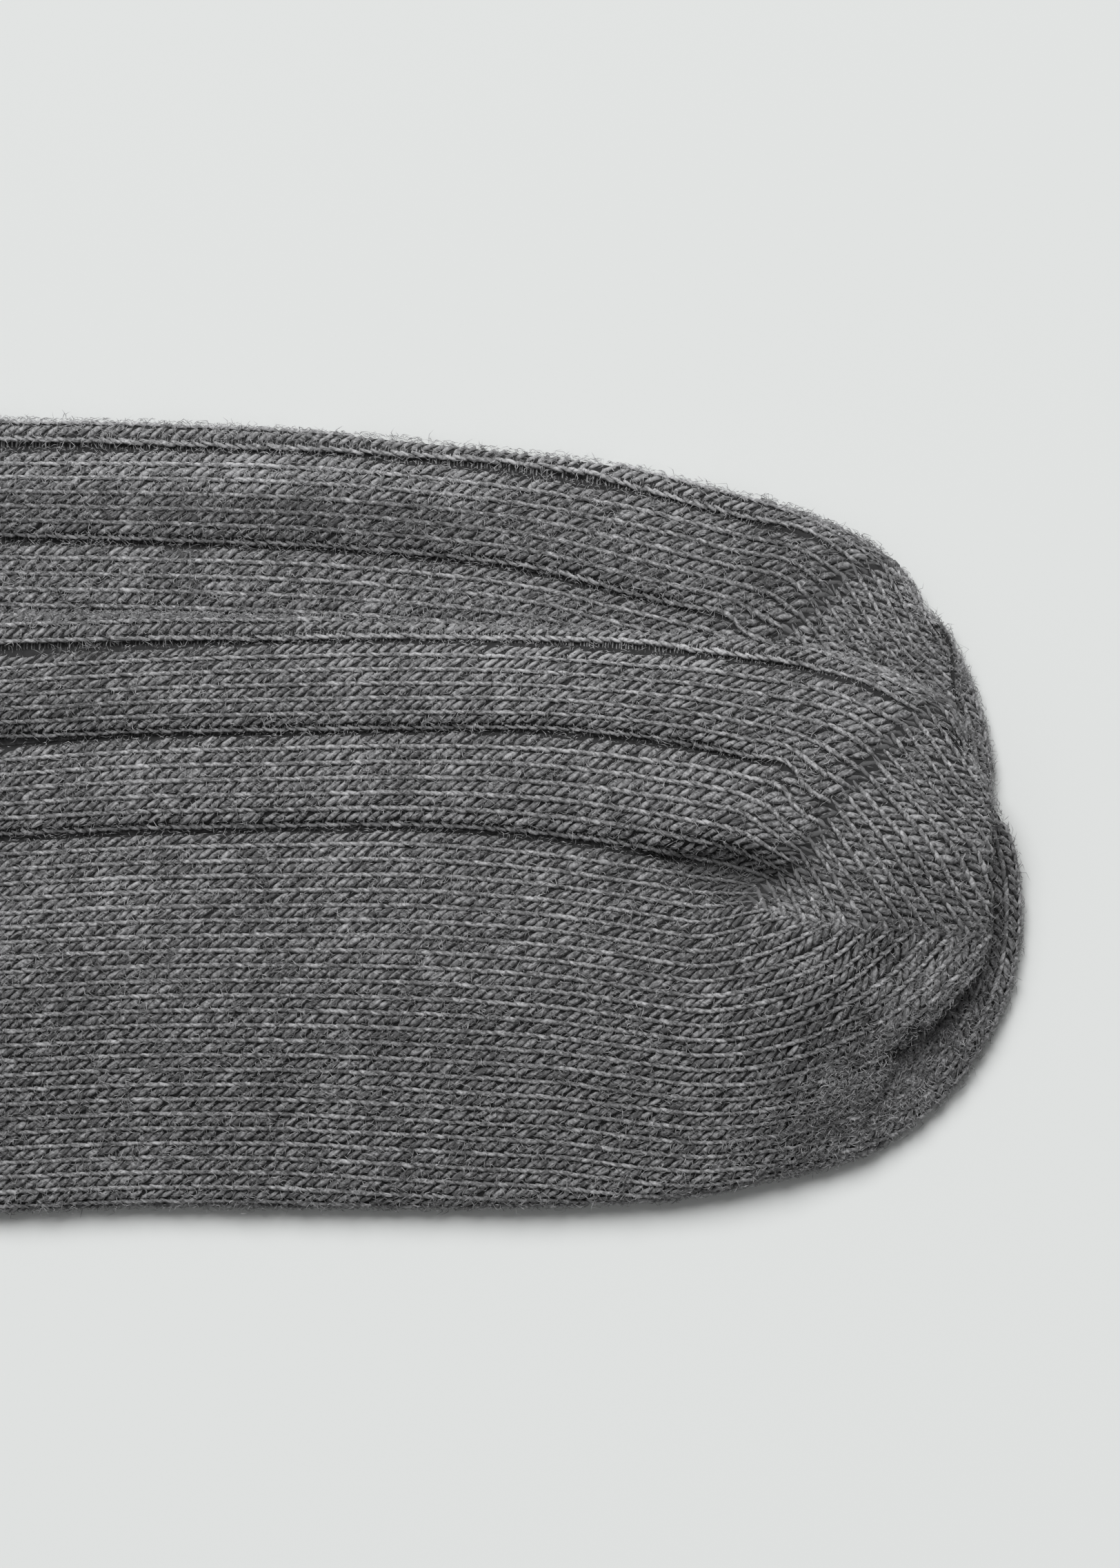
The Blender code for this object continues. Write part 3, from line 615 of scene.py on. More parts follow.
def outer_rows(shell, sock):
    """Both outer faces, as rows that share the spine and the fold."""
    near, far = [], []
    for index, section in enumerate(sock.sections):
        ribs, leg_share = rib_strengths(index, sock)
        course = sock.travelled[index]
        welt = CUFF_WELT if course < CUFF_HEIGHT else 0.0
        spine, instep_edge, sole_edge = section[0:2], section[2:4], section[4:6]
        stops = (0.0, section[6], section[7])
        instep = shell.row(sock.plain_row(spine, instep_edge, stops, ribs, welt), course, 1)
        leg_ribs = (ribs[0], leg_share, leg_share, leg_share)
        sole_row = sock.plain_row(spine, sole_edge, LEG_GROOVES, leg_ribs, welt)
        sole = [instep[0]] + shell.row(sole_row, course, -1)[1:]
        far_instep = shell.row(sock.far_row(spine, instep_edge), course, 1) + [instep[-1]]
        far_sole = [far_instep[0]] + shell.row(sock.far_row(spine, sole_edge), course, -1)[1:] + [sole[-1]]
        near.append((instep, sole))
        far.append((far_instep, far_sole))
    for rows, kind in ((near, NEAR), (far, FAR)):
        for (instep_a, sole_a), (instep_b, sole_b) in zip(rows[:-1], rows[1:]):
            shell.strip(instep_a, instep_b, kind)
            shell.strip(sole_a, sole_b, kind)
    fan_near, fan_far = [near[-1][0]], [far[-1][0]]
    near_pole, far_pole = near[-1][0][0], far[-1][0][0]
    last = sock.sections[-1]
    course = sock.travelled[-1]
    fan = []
    for index, edge in enumerate(sock.wedge):
        groove = 1.0 - smooth_step((index + 1) / WEDGE_FADE)
        points = sock.plain_row(sock.pole, edge, (0.0, last[6], last[7]), (0.0, 0.0, groove))
        fan.append((points, edge))
    for row in sock.pocket:
        points = sock.pocket_row(row[0:2], row[2:4], float(np.clip(row[4], 0.0, 1.0)))
        fan.append((points, points[-1, 0:2]))
    for points, edge in fan:
        fan_near.append(fan_row(shell, near_pole, points, course))
        fan_far.append(fan_row(shell, far_pole, sock.far_row(sock.pole, edge), course, fan_near[-1][-1:]))
    fan_near.append(near[-1][1])
    fan_far.append(far[-1][1])
    for row_a, row_b in zip(fan_far[:-1], fan_far[1:]):
        shell.strip(row_a, row_b, FAR)
    for row_a, row_b in zip(fan_near[:-1], fan_near[1:]):
        shell.strip(row_a[:-STRIP_POINTS], row_b[:-STRIP_POINTS], NEAR)
        shell.strip(row_a[-STRIP_POINTS - 1:], row_b[-STRIP_POINTS - 1:], STRIP)
    return (near[0][0][::-1] + near[0][1][1:]), (far[0][0][::-1] + far[0][1][1:])


def inner_face(shell, sock):
    """The hollow between the two layers, open at the cuff and closed in the toe."""
    rows = []
    picked = list(range(0, len(sock.sections) - 1, INNER_EVERY)) + [len(sock.sections) - 1]
    for index in picked:
        section = sock.sections[index]
        course = sock.travelled[index]
        top_i, bottom_i = sock.inner_rows(section[0:2], section[2:4])
        top_s, bottom_s = sock.inner_rows(section[0:2], section[4:6])
        instep = shell.row(top_i, course, 1, True)
        sole = [instep[0]] + shell.row(top_s, course, -1, True)[1:]
        far_instep = shell.row(bottom_i, course, 1) + [instep[-1]]
        far_sole = [far_instep[0]] + shell.row(bottom_s, course, -1)[1:] + [sole[-1]]
        rows.append((instep, sole, far_instep, far_sole))
    for row_a, row_b in zip(rows[:-1], rows[1:]):
        for chain_a, chain_b in zip(row_a, row_b):
            shell.strip(chain_a, chain_b, INNER)
    fan_top, fan_bottom = [rows[-1][0]], [rows[-1][2]]
    course = sock.travelled[-1]
    edges = list(sock.wedge[::INNER_EVERY])
    for row in sock.pocket[::INNER_EVERY]:
        lip_run = np.linalg.norm(row[0:2] - sock.pole)
        strip_run = np.linalg.norm(row[2:4] - sock.pole)
        share = (min(lip_run, strip_run) - LIP_UNDERCUT) / strip_run
        edges.append(sock.pole + (row[2:4] - sock.pole) * (share * row[4] + 1 - row[4]))
    for edge in edges:
        top, bottom = sock.inner_rows(sock.pole, np.asarray(edge))
        fan_top.append(fan_row(shell, rows[-1][0][0], top, course, ceiling=True))
        fan_bottom.append(fan_row(shell, rows[-1][2][0], bottom, course, fan_top[-1][-1:]))
    fan_top.append(rows[-1][1])
    fan_bottom.append(rows[-1][3])
    for fan in (fan_top, fan_bottom):
        for row_a, row_b in zip(fan[:-1], fan[1:]):
            shell.strip(row_a, row_b, INNER)
    first = rows[0]
    return (first[0][::-1] + first[1][1:]), (first[2][::-1] + first[3][1:])


class Toe:
    """The wales of a toe: drawn for the front sock, and moved and turned onto the other."""

    def __init__(self, sock):
        a, b = np.array(TOE_DRAWN)
        c, d = np.array(TOE_LIES[sock.side])
        turn = complex(*(d - c)) / complex(*(b - a))
        self.matrix = np.array([[turn.real, -turn.imag], [turn.imag, turn.real]])
        self.origin, self.target = a, c
        self.sock = sock
        seam = np.array(SEAM)
        self.seam_line = self.moved(seam)
        self.seam_arc = arc_along(seam)
        self.seam = seam
        flat = self.unmoved(sock.outline)
        self.lower = flat[(flat[:, 0] > TOE_LOWER[0]) & (flat[:, 1] < TOE_LOWER[1])]
        self.lower = self.lower[np.argsort(self.lower[:, 0])]

    def moved(self, points):
        """From the toe as it is drawn to this sock's."""
        return (np.atleast_2d(points) - self.origin) @ self.matrix.T + self.target

    def unmoved(self, points):
        """From this sock's toe to the one that is drawn."""
        return (np.atleast_2d(points) - self.target) @ np.linalg.inv(self.matrix).T + self.origin

    def on_seam(self, place):
        """The point of the drawn seam at a distance along it."""
        return np.array([np.interp(place, self.seam_arc, self.seam[:, 0]),
                         np.interp(place, self.seam_arc, self.seam[:, 1])])

    def gore(self, wale):
        """Where a pocket wale turns its corner, on the drawn gore line."""
        return np.array([np.interp(wale, GORE_WALES, GORE_X), np.interp(wale, GORE_WALES, GORE_Y)])

    def arm_point(self, station, wale):
        """Where a wale's lower arm crosses a station, spread out to the fold beyond the drawn wales."""
        x, height, pitch, fold_wales = station
        count = wale - ARM_FIRST
        y = height - pitch * min(count, ARM_WALES)
        if count > ARM_WALES:
            fold = np.interp(x, self.lower[:, 0], self.lower[:, 1]) - FOLD_EXTRA
            y += (fold - y) * (count - ARM_WALES) / (fold_wales - ARM_WALES)
        return np.array([x, y])

    def instep_arm(self, knit, wale):
        """Controls of a wale that runs from the foot into the seam's instep side."""
        controls = [knit.place(ARM_LEAD, wale), knit.place(0.0, wale)]
        closed = [groove for groove in GROOVES if abs(wale - groove) < GROOVE_NEAR]
        seam = self.on_seam(np.interp(closed[0] if closed else wale, SEAM_WALES, SEAM_PLACES))
        end = self.moved(seam)[0]
        if wale < GROOVES[2]:
            bend = knit.place(INSTEP_BEND, wale)
            edge = np.array(FRONT_WEDGE[1])
            way = edge - np.array(FRONT_FOOT[-1][0:2])
            rim = self.moved(edge - way / np.linalg.norm(way) * (wale - RIM_WALE) * RIM_PITCH)[0]
            past = smooth_step((INNER_WALES[0] - wale) / INNER_WALES[1])
            outer = smooth_step((OUTER_WALES[0] - wale) / OUTER_WALES[1])
            controls.append(bend)
            controls.append(past * knit.place(knit.toe_run, wale) + (1 - past) * (bend * 2 + end) / 3)
            controls.append(outer * rim + (1 - outer) * (bend + end * 2) / 3)
        controls.append(end)
        return controls

    def lower_arm(self, knit, wale):
        """Controls of a pocket wale from the foot to its corner on the gore line."""
        corner = self.gore(wale)
        controls = [knit.place(ARM_LEAD, wale), knit.place(0.0, wale)]
        for station in ARM_STATIONS:
            if station[0] < corner[0] - CORNER_CLEAR:
                controls.append(self.moved(self.arm_point(station, wale))[0])
        controls.append(self.moved(corner)[0])
        return controls

    def upper_arm(self, wale):
        """Controls of a pocket wale from its corner on the gore line up to the seam."""
        controls = [self.gore(wale)]
        for y, x, named, pitch, first in UPPER_STATIONS[::-1]:
            if wale >= first:
                controls.append(np.array([x + pitch * (wale - named), y]))
        controls.append(self.on_seam(SEAM_PITCH * (wale - POCKET_WALE)))
        return [self.moved(point)[0] for point in controls]

    def strip_arm(self, knit, wale):
        """Controls of a wale that runs on round the toe beside the fold, under the lip."""
        controls = [knit.place(ARM_LEAD, wale), knit.place(0.0, wale)]
        for station in ARM_STATIONS:
            controls.append(self.moved(self.arm_point(station, wale))[0])
        inset = (STRIP_WALES - (wale - ARM_FIRST)) * STRIP_PITCH - FOLD_EXTRA
        for row in self.sock.pocket[::-1][STRIP_ROWS]:
            edge, pole = row[2:4], self.sock.pole
            way = (edge - pole) / np.linalg.norm(edge - pole)
            controls.append(edge - way * inset)
        return controls


class Knit:
    """Where each wale and course of a sock lies, first unrolled on the sheet, then on the shell."""

    def __init__(self, sock, shell):
        self.sock = sock
        self.toe_run = TOE_RUN[sock.side]
        self.start = sock.travelled[-1] - self.toe_run
        self.toe = Toe(sock)
        points = [tuple(p) for p in shell.points]
        faces = shell.faces
        kinds = np.array(shell.kinds)
        self.all = self.tree(points, faces, kinds != INNER)
        self.ledge = self.tree(points, faces, (kinds == STRIP) | (kinds == FAR))
        lip = sock.pocket[:, 0:2]
        fold = sock.pocket[:, 4] > LIP_FOLDED
        way = lip - sock.pole
        angle = np.arctan2(way[:, 1], way[:, 0])
        span = (angle > LIP_START) & fold
        order = np.argsort(angle[span])
        self.rim_angle = angle[span][order]
        self.rim_run = np.linalg.norm(way, axis=1)[span][order]

    @staticmethod
    def tree(points, faces, wanted):
        return BVHTree.FromPolygons(points, [f for f, use in zip(faces, wanted) if use])

    def row_at(self, along):
        """The section's spine, edges and grooves at a distance from the toe part's start."""
        travelled = np.clip(self.start + np.atleast_1d(along), 0.0, self.sock.travelled[-1])
        return np.column_stack([np.interp(travelled, self.sock.travelled, column)
                                for column in self.sock.sections.T])

    def place(self, along, wale):
        """A point of the unrolled sheet, from its section and wale."""
        row = self.row_at(along)
        spine, instep, sole = row[:, 0:2], row[:, 2:4], row[:, 4:6]
        wale = np.broadcast_to(np.asarray(wale, float), len(row))
        run_up = np.linalg.norm(instep - spine, axis=1)
        run_down = np.linalg.norm(sole - spine, axis=1)
        groove, outer = row[:, 6] * run_up, row[:, 7] * run_up
        up = np.where(wale > GROOVES[1], groove * (GROOVES[2] - wale) / RIB_WALES,
                      groove + (outer - groove) * (GROOVES[1] - wale) / RIB_WALES)
        up = np.where(wale < GROOVES[0], outer + (GROOVES[0] - wale) * EDGE_PITCH, up)
        wales = np.interp(np.atleast_1d(along), *WALE_COUNTS)
        down = (wale - GROOVES[2]) * run_down / wales
        upper = spine + (instep - spine) * (up / run_up)[:, None]
        lower = spine + (sole - spine) * (down / run_down)[:, None]
        found = np.where((wale < GROOVES[2])[:, None], upper, lower)
        return found[0] if np.ndim(along) == 0 else found

    def opened(self, along, wale):
        """The wale with the grooves opened beside it, as far as they gape at each distance."""
        first, second, last = (np.interp(along, GAPE_PLACES, gapes) - GROOVE_HALF for gapes in GAPES)
        if wale < GROOVES[0]:
            return wale - first
        if wale > GROOVES[2]:
            return wale + last * np.clip(1.0 - (wale - GROOVES[2]) / RIB_WALES, 0.0, 1.0)
        upper, lower = (first, second) if wale < GROOVES[1] else (second, last)
        share = ((wale - GROOVES[0]) % RIB_WALES - GROOVE_HALF) / (RIB_WALES - 2 * GROOVE_HALF)
        return wale + upper * (1.0 - share) - lower * share

    def rim_gap(self, points):
        """How far inside the lip each point of the toe is; far inside where there is no lip."""
        way = points - self.sock.pole
        angle = np.arctan2(way[:, 1], way[:, 0])
        run = np.interp(angle, self.rim_angle, self.rim_run)
        within = (angle > self.rim_angle[0]) & (angle < self.rim_angle[-1])
        return np.where(within, run - np.linalg.norm(way, axis=1), FAR_OFF)

    def on_shell(self, points, kind):
        """Points on the shell and the ways out of it, for points of the unrolled sheet."""
        outline = self.sock.outline
        nearest, gap = nearest_on(outline, points)
        within = inside(outline, points)
        signed = np.where(within, gap, -gap)
        outward = (nearest - points) / np.maximum(gap, 1e-6)[:, None]
        outward[~within] *= -1
        weak = gap < 1e-3
        outward[weak] = unit(nearest - outline.mean(0))[weak]
        lip = self.rim_gap(points)
        rim = lip if kind == "face" else np.full(len(points), FAR_OFF)
        out_rim = unit(points - self.sock.pole)
        spots = np.zeros((len(points), 3))
        ways = np.zeros((len(points), 3))
        good = np.ones(len(points), bool)
        down = Vector((0, 0, -1))
        for i, (x, y) in enumerate(points):
            tree = self.ledge if kind == "strip" and lip[i] < FAR_OFF else self.all
            if rim[i] < LIP_RADIUS:
                unrolled, zone, drop = rim[i] + LIP_EXTRA, LIP_RADIUS + LIP_EXTRA, LIP_DROP
                axis = points[i] - out_rim[i] * (LIP_RADIUS - rim[i])
                out = out_rim[i]
            elif signed[i] < FOLD_RUN:
                unrolled, zone, drop = signed[i] + FOLD_EXTRA, FOLD_RUN + FOLD_EXTRA, FOLD_DROP
                axis = nearest[i] - outward[i] * FOLD_RUN
                out = outward[i]
            else:
                hit, normal, _, _ = tree.ray_cast(Vector((x, y, RAY_HEIGHT)), down)
                good[i] = hit is not None
                if good[i]:
                    spots[i] = hit
                    ways[i] = normal if normal.z > 0 else -normal
                continue
            above, _, _, _ = tree.ray_cast(Vector((axis[0], axis[1], RAY_HEIGHT)), down)
            good[i] = above is not None and unrolled >= FOLD_END
            if not good[i]:
                continue
            turn = math.radians(unrolled / (zone if unrolled >= 0 else FOLD_BELOW) * 90.0)
            aim = Vector((out[0] * math.cos(turn), out[1] * math.cos(turn), math.sin(turn)))
            middle = Vector((axis[0], axis[1], above.z - drop))
            hit, normal, _, _ = tree.ray_cast(middle + aim * RAY_REACH, -aim)
            good[i] = hit is not None
            if good[i]:
                spots[i] = hit
                ways[i] = normal if normal.dot(aim) > 0 else -normal
        return spots, ways, good


def curve_points(controls, step=0.25):
    """A smooth line through the controls after the first, which only sets the way it starts."""
    controls = np.array(controls)
    spans = np.maximum(np.linalg.norm(np.diff(controls, axis=0), axis=1), 1e-6)
    knots = np.concatenate([[0.0], np.cumsum(spans)])
    slope = np.gradient(controls, knots, axis=0)
    slope[-1] = (controls[-1] - controls[-2]) / spans[-1]
    out = []
    for i in range(1, len(controls) - 1):
        count = max(2, int(spans[i] / step))
        t = np.linspace(0.0, 1.0, count, endpoint=False)[:, None]
        h = spans[i]
        out.append((2 * t ** 3 - 3 * t ** 2 + 1) * controls[i] + (t ** 3 - 2 * t ** 2 + t) * h * slope[i]
                   + (-2 * t ** 3 + 3 * t ** 2) * controls[i + 1] + (t ** 3 - t ** 2) * h * slope[i + 1])
    out.append(controls[-1:])
    return np.vstack(out)


def run_on(line, length):
    """The line, with its last way run on for a length."""
    way = line[-1] - line[-2]
    size = np.linalg.norm(way)
    return np.vstack([line, line[-1] + way / size * length]) if size > 1e-6 else line


def even_points(line, count):
    """Evenly spaced points along a line, count + 1 of them."""
    arc = arc_along(line)
    goal = np.linspace(0.0, arc[-1], count + 1)
    return np.column_stack([np.interp(goal, arc, line[:, 0]), np.interp(goal, arc, line[:, 1])])


def along_line(line, count):
    """Even points along a line, and the ways to its left there."""
    points = even_points(line, count)
    way = unit(np.gradient(points, axis=0))
    return points, np.column_stack([-way[:, 1], way[:, 0]])


# A stitch's role: its fat leg, its pale ply, or a rung of a groove.
FAT, FINE, LADDER = 0, 1, 2


class Bands:
    """The stitches of a sock: for each, the corners of its cell on the unrolled sheet, where it lies, its
    part of the sock and its role. It lies on the foot, on the face of the toe or on the strip under its lip.
    """

    def __init__(self):
        self.corners, self.kind, self.part, self.role = [], [], [], []

    def add(self, low, high, kind, part, roles):
        """Adds a band, of which low and high are the two sides, point by point."""
        corners = np.stack([high[:-1], high[1:], low[:-1], low[1:]], 1)
        for role in roles:
            self.corners.append(corners)
            self.kind += [kind] * len(corners)
            self.part += [part] * len(corners)
            self.role += [role] * len(corners)

    def add_square(self, low, high, kind, course, ladder):
        """A band whose courses stay square to it, however its two ends are cut.

        Each role's courses are counted along a line of its own, at a share of the way across.
        """
        low, high = even_points(low, BAND_SAMPLES), even_points(high, BAND_SAMPLES)
        for role, share in ((LADDER, 0.5),) if ladder else ((FAT, 0.5), (FINE, 0.1)):
            line = low * share + high * (1 - share)
            length = arc_along(line)[-1]
            points, left = along_line(line, max(1, int(round(length / course))))
            _, gap_low = nearest_on(low, points, closed=False)
            _, gap_high = nearest_on(high, points, closed=False)
            width = gap_low + gap_high
            self.add(points + left * (width * (1 - share))[:, None],
                     points - left * (width * share)[:, None], kind, "toe", (role,))


def rib_bands(groove):
    """The wales of the rib that follows a groove, each from one edge to the other."""
    first = groove + GROOVE_HALF
    return [(first + i * RIB_WALE, first + (i + 1) * RIB_WALE) for i in range(RIB_KNITS)]


def knit_bands(knit, course):
    """All the bands of stitches on the side of the sock that shows."""
    bands = Bands()
    first, last = GROOVES[0] - GROOVE_HALF, GROOVES[2] + GROOVE_HALF
    edge = [(first - i - 1.0, first - i) for i in range(EDGE_WALES)]
    instep = edge + rib_bands(GROOVES[0]) + rib_bands(GROOVES[1])
    plain = [(last + i, last + i + 1.0) for i in range(PLAIN_WALES)]
    ribbed = []
    for groove in (GROOVES[2], *LEG_ONLY_GROOVES):
        ribbed += rib_bands(groove)
    foot_start = -(knit.start - (LEG_LENGTH + ANKLE_RADIUS * LEG_TURN))
    bend_start = foot_start - ANKLE_RADIUS * LEG_TURN
    foot_rows = np.linspace(foot_start, 0.0, int(round(-foot_start / course)) + 1)
    leg_rows = np.linspace(-knit.start, bend_start, int(round((bend_start + knit.start) / course)) + 1)
    leg_ladders = [(groove - LADDER_HALF, groove + LADDER_HALF) for groove in GROOVES + LEG_ONLY_GROOVES]
    ladders = leg_ladders[:len(GROOVES)]
    bend = np.linspace(bend_start, foot_start, BEND_SAMPLES)
    for low, high in instep + plain + ladders:
        roles = (LADDER,) if (low, high) in ladders else (FAT, FINE)
        open_low, open_high = low, high
        if roles != (LADDER,):
            open_low, open_high = knit.opened(foot_rows, low), knit.opened(foot_rows, high)
        bands.add(knit.place(foot_rows, open_low), knit.place(foot_rows, open_high), "foot", "foot", roles)
        line_low, line_high = knit.place(bend, low), knit.place(bend, high)
        length = arc_along((line_low + line_high) / 2)[-1]
        count = max(1, int(round(length / course)))
        bands.add(even_points(line_low, count), even_points(line_high, count), "foot", "leg", roles)
    for low, high in instep + ribbed + leg_ladders:
        roles = (LADDER,) if (low, high) in leg_ladders else (FAT, FINE)
        bands.add(knit.place(leg_rows, low), knit.place(leg_rows, high), "foot", "leg", roles)
    toe = knit.toe

    def arm(low_controls, high_controls, kind, ladder=False, over=0.8):
        low_line = run_on(curve_points(low_controls), over)
        high_line = run_on(curve_points(high_controls), over)
        bands.add_square(low_line, high_line, kind, course, ladder)

    for low, high in instep + plain[:SEAM_SIDE]:
        arm(toe.instep_arm(knit, low), toe.instep_arm(knit, high), "foot")
    for low, high in ladders[:2]:
        arm(toe.instep_arm(knit, low), toe.instep_arm(knit, high), "foot", True)
    for low, high in plain[SEAM_SIDE:]:
        low = max(low, POCKET_WALE + POCKET_GAP)
        if low < NOTCH_WALE:
            arm(toe.lower_arm(knit, low), toe.lower_arm(knit, high), "face")
        else:
            arm(toe.strip_arm(knit, low), toe.strip_arm(knit, high), "strip")
        if low < POCKET_END:
            first_low, first_high = toe.upper_arm(low), toe.upper_arm(high)
            arm([2 * first_low[0] - first_low[1]] + first_low,
                [2 * first_high[0] - first_high[1]] + first_high, "face")
    return bands


# The legs of a stitch: place along the course and across the wale, height over the shell, radius.
FAT_LEG = (
    (-0.34, 0.27, -0.40, 0.34),
    (0.12, 0.45, 0.16, 0.43),
    (0.72, 0.72, 0.20, 0.43),
    (1.18, 0.93, -0.36, 0.34),
)
FINE_LEG = (
    (-0.22, 0.19, -0.05, 0.25),
    (0.20, 0.13, 0.30, 0.34),
    (0.72, 0.07, 0.32, 0.34),
    (1.18, 0.01, 0.02, 0.25),
)
RUNG = (
    (0.45, 0.15, -0.1, 0.10),
    (0.5, 0.45, -0.25, 0.13),
    (0.5, 0.75, 0.0, 0.13),
    (0.55, 1.05, 0.15, 0.10),
)
RUNG_PLACES = (-0.33, 0.0, 0.33)
WALE_PITCH = 2.2          # the width of a wale that the radii are meant for
COURSE_PITCH = 1.65
SEED = 11                 # the shades, the stitches and the hairs of each sock draw on seeds made from it
# How much the stitches differ: spreads along and across, of the lean, the size and the tone.
ALONG_SPREAD, ACROSS_SPREAD, LEAN_SPREAD, SIZE_SPREAD, TONE_SPREAD = 0.08, 0.045, 0.08, 0.11, 0.9
FINE_SHARE = 0.4          # of the spread across and of the lean, for the fine legs
SIZE_LIMITS = (0.75, 1.3)
TONE_LIMIT = 1.6
WIDTH_LIMITS = {"fat": (0.85, 1.35), "fine": (0.85, 1.15)}    # how far the size follows the wale's width
LONGEST_STEP = 2.4        # from ring to ring; a longer one means a leg that has lost the shell
FLOOR_GAP = 0.05          # yarn and hairs stay this far over the surface
HAIR_GAP = 0.15
# Where the front sock has felted most: x, y, radii, how many times more loose fibres, tilt.
FELTED = (
    (140.0, 22.0, 20.0, 8.0, 9.0, math.radians(38.0)),
    (116.0, 54.0, 9.0, 4.0, 2.0, 0.0),
    (62.0, 94.6, 75.0, 1.8, 6.0, 0.0),
    (130.0, 80.0, 22.0, 8.0, 1.2, math.radians(-25.0)),
)
# Where the yarn of the front and of the back sock is paler or darker: x, y, radii, by how much, tilt. Some
# patches are painted light and shade, as marked.
PATCHES_AND_PAINTED_LIGHT = {
    "front": (
        (130.0, 15.0, 15.0, 3.5, -1.6, math.radians(20.0)),
        (131.0, 29.0, 14.0, 5.5, -1.5, math.radians(10.0)),
        (133.0, 55.0, 10.0, 7.0, -1.4, 0.0),
        (145.0, 46.0, 14.0, 2.5, -1.8, 0.0),
        # painted highlight: paler along the instep's fold, on the side that faces the lamp
        (88.0, 90.5, 48.0, 4.5, 2.4, math.radians(-3.0)),
        (60.0, 76.0, 75.0, 13.0, 0.7, 0.0),
        # painted shade: the rib's lower side, darker at its left end
        (4.0, 80.0, 22.0, 4.5, -1.5, 0.0),
    ),
    "back": (
        # painted light and shade: the rib's upper half paler and its lower half darker, as they face towards
        # or away from the lamp
        (40.0, 118.0, 70.0, 3.4, 2.5, math.radians(-2.0)),
        (45.0, 110.5, 42.0, 3.2, -1.6, math.radians(-2.0)),
        (120.0, 100.0, 9.0, 7.0, -1.4, 0.0),
        # painted highlight: paler along the back sock's fold, on the side that faces the lamp
        (30.0, 124.5, 55.0, 3.0, 1.8, math.radians(-2.5)),
        (97.0, 119.0, 28.0, 3.0, 1.8, math.radians(-12.0)),
        (60.0, 104.0, 90.0, 22.0, 0.6, 0.0),
    ),
}
# Loose fibres and nap: how far they follow the stitches, shortest, longest, rise, tones, felting.
LOOSE = (0.0, 1.0, 3.2, 0.35, 1.6, 1.0)
NAP = (1.7, 0.7, 1.7, 0.12, 2.2, 0.1)
RIM_FUZZ = 0.6            # so much more of it lies along the outline, this near to it
RIM_RUN = 2.5
STEEP = 0.7               # hairs differ where the face's way out is less than this upward
STEEP_SHORTER = 0.55      # where it isn't upward at all they are this much shorter,
STEEP_LIFT = 0.3          # stand off by up to this much more
STEEP_TONE = 2.0          # and are paler, as light falls through them
HAIR_BEND = 0.25          # the spread of the bend, as a share of the length
HAIR_START = 0.5          # over the shell, which is about the top of the yarn
HAIR_SINK = -0.1          # the least that a hair's end rises over its start
HAIR_ARCH = 0.1           # its middle stands this far over both, and by as much for each millimetre
HAIR_RADII = (0.04, 0.075)
HAIR_TONE = 0.3           # the mean tone, and the limit of its spread
HAIR_TONE_LIMIT = 4.0
HAIR_SIDE = (0.31, 0.17, 0.93)    # no hair lies this way, so that it can set where a hair's ring starts


def bowl(points, hollow):
    """How deep in a hollow each point lies, from 0 far off to 1 at its middle."""
    x, y, along_radius, across_radius, _, tilt = hollow
    along = (points[:, 0] - x) * math.cos(tilt) + (points[:, 1] - y) * math.sin(tilt)
    across = (points[:, 1] - y) * math.cos(tilt) - (points[:, 0] - x) * math.sin(tilt)
    return np.exp(-(along / along_radius) ** 2 - (across / across_radius) ** 2)


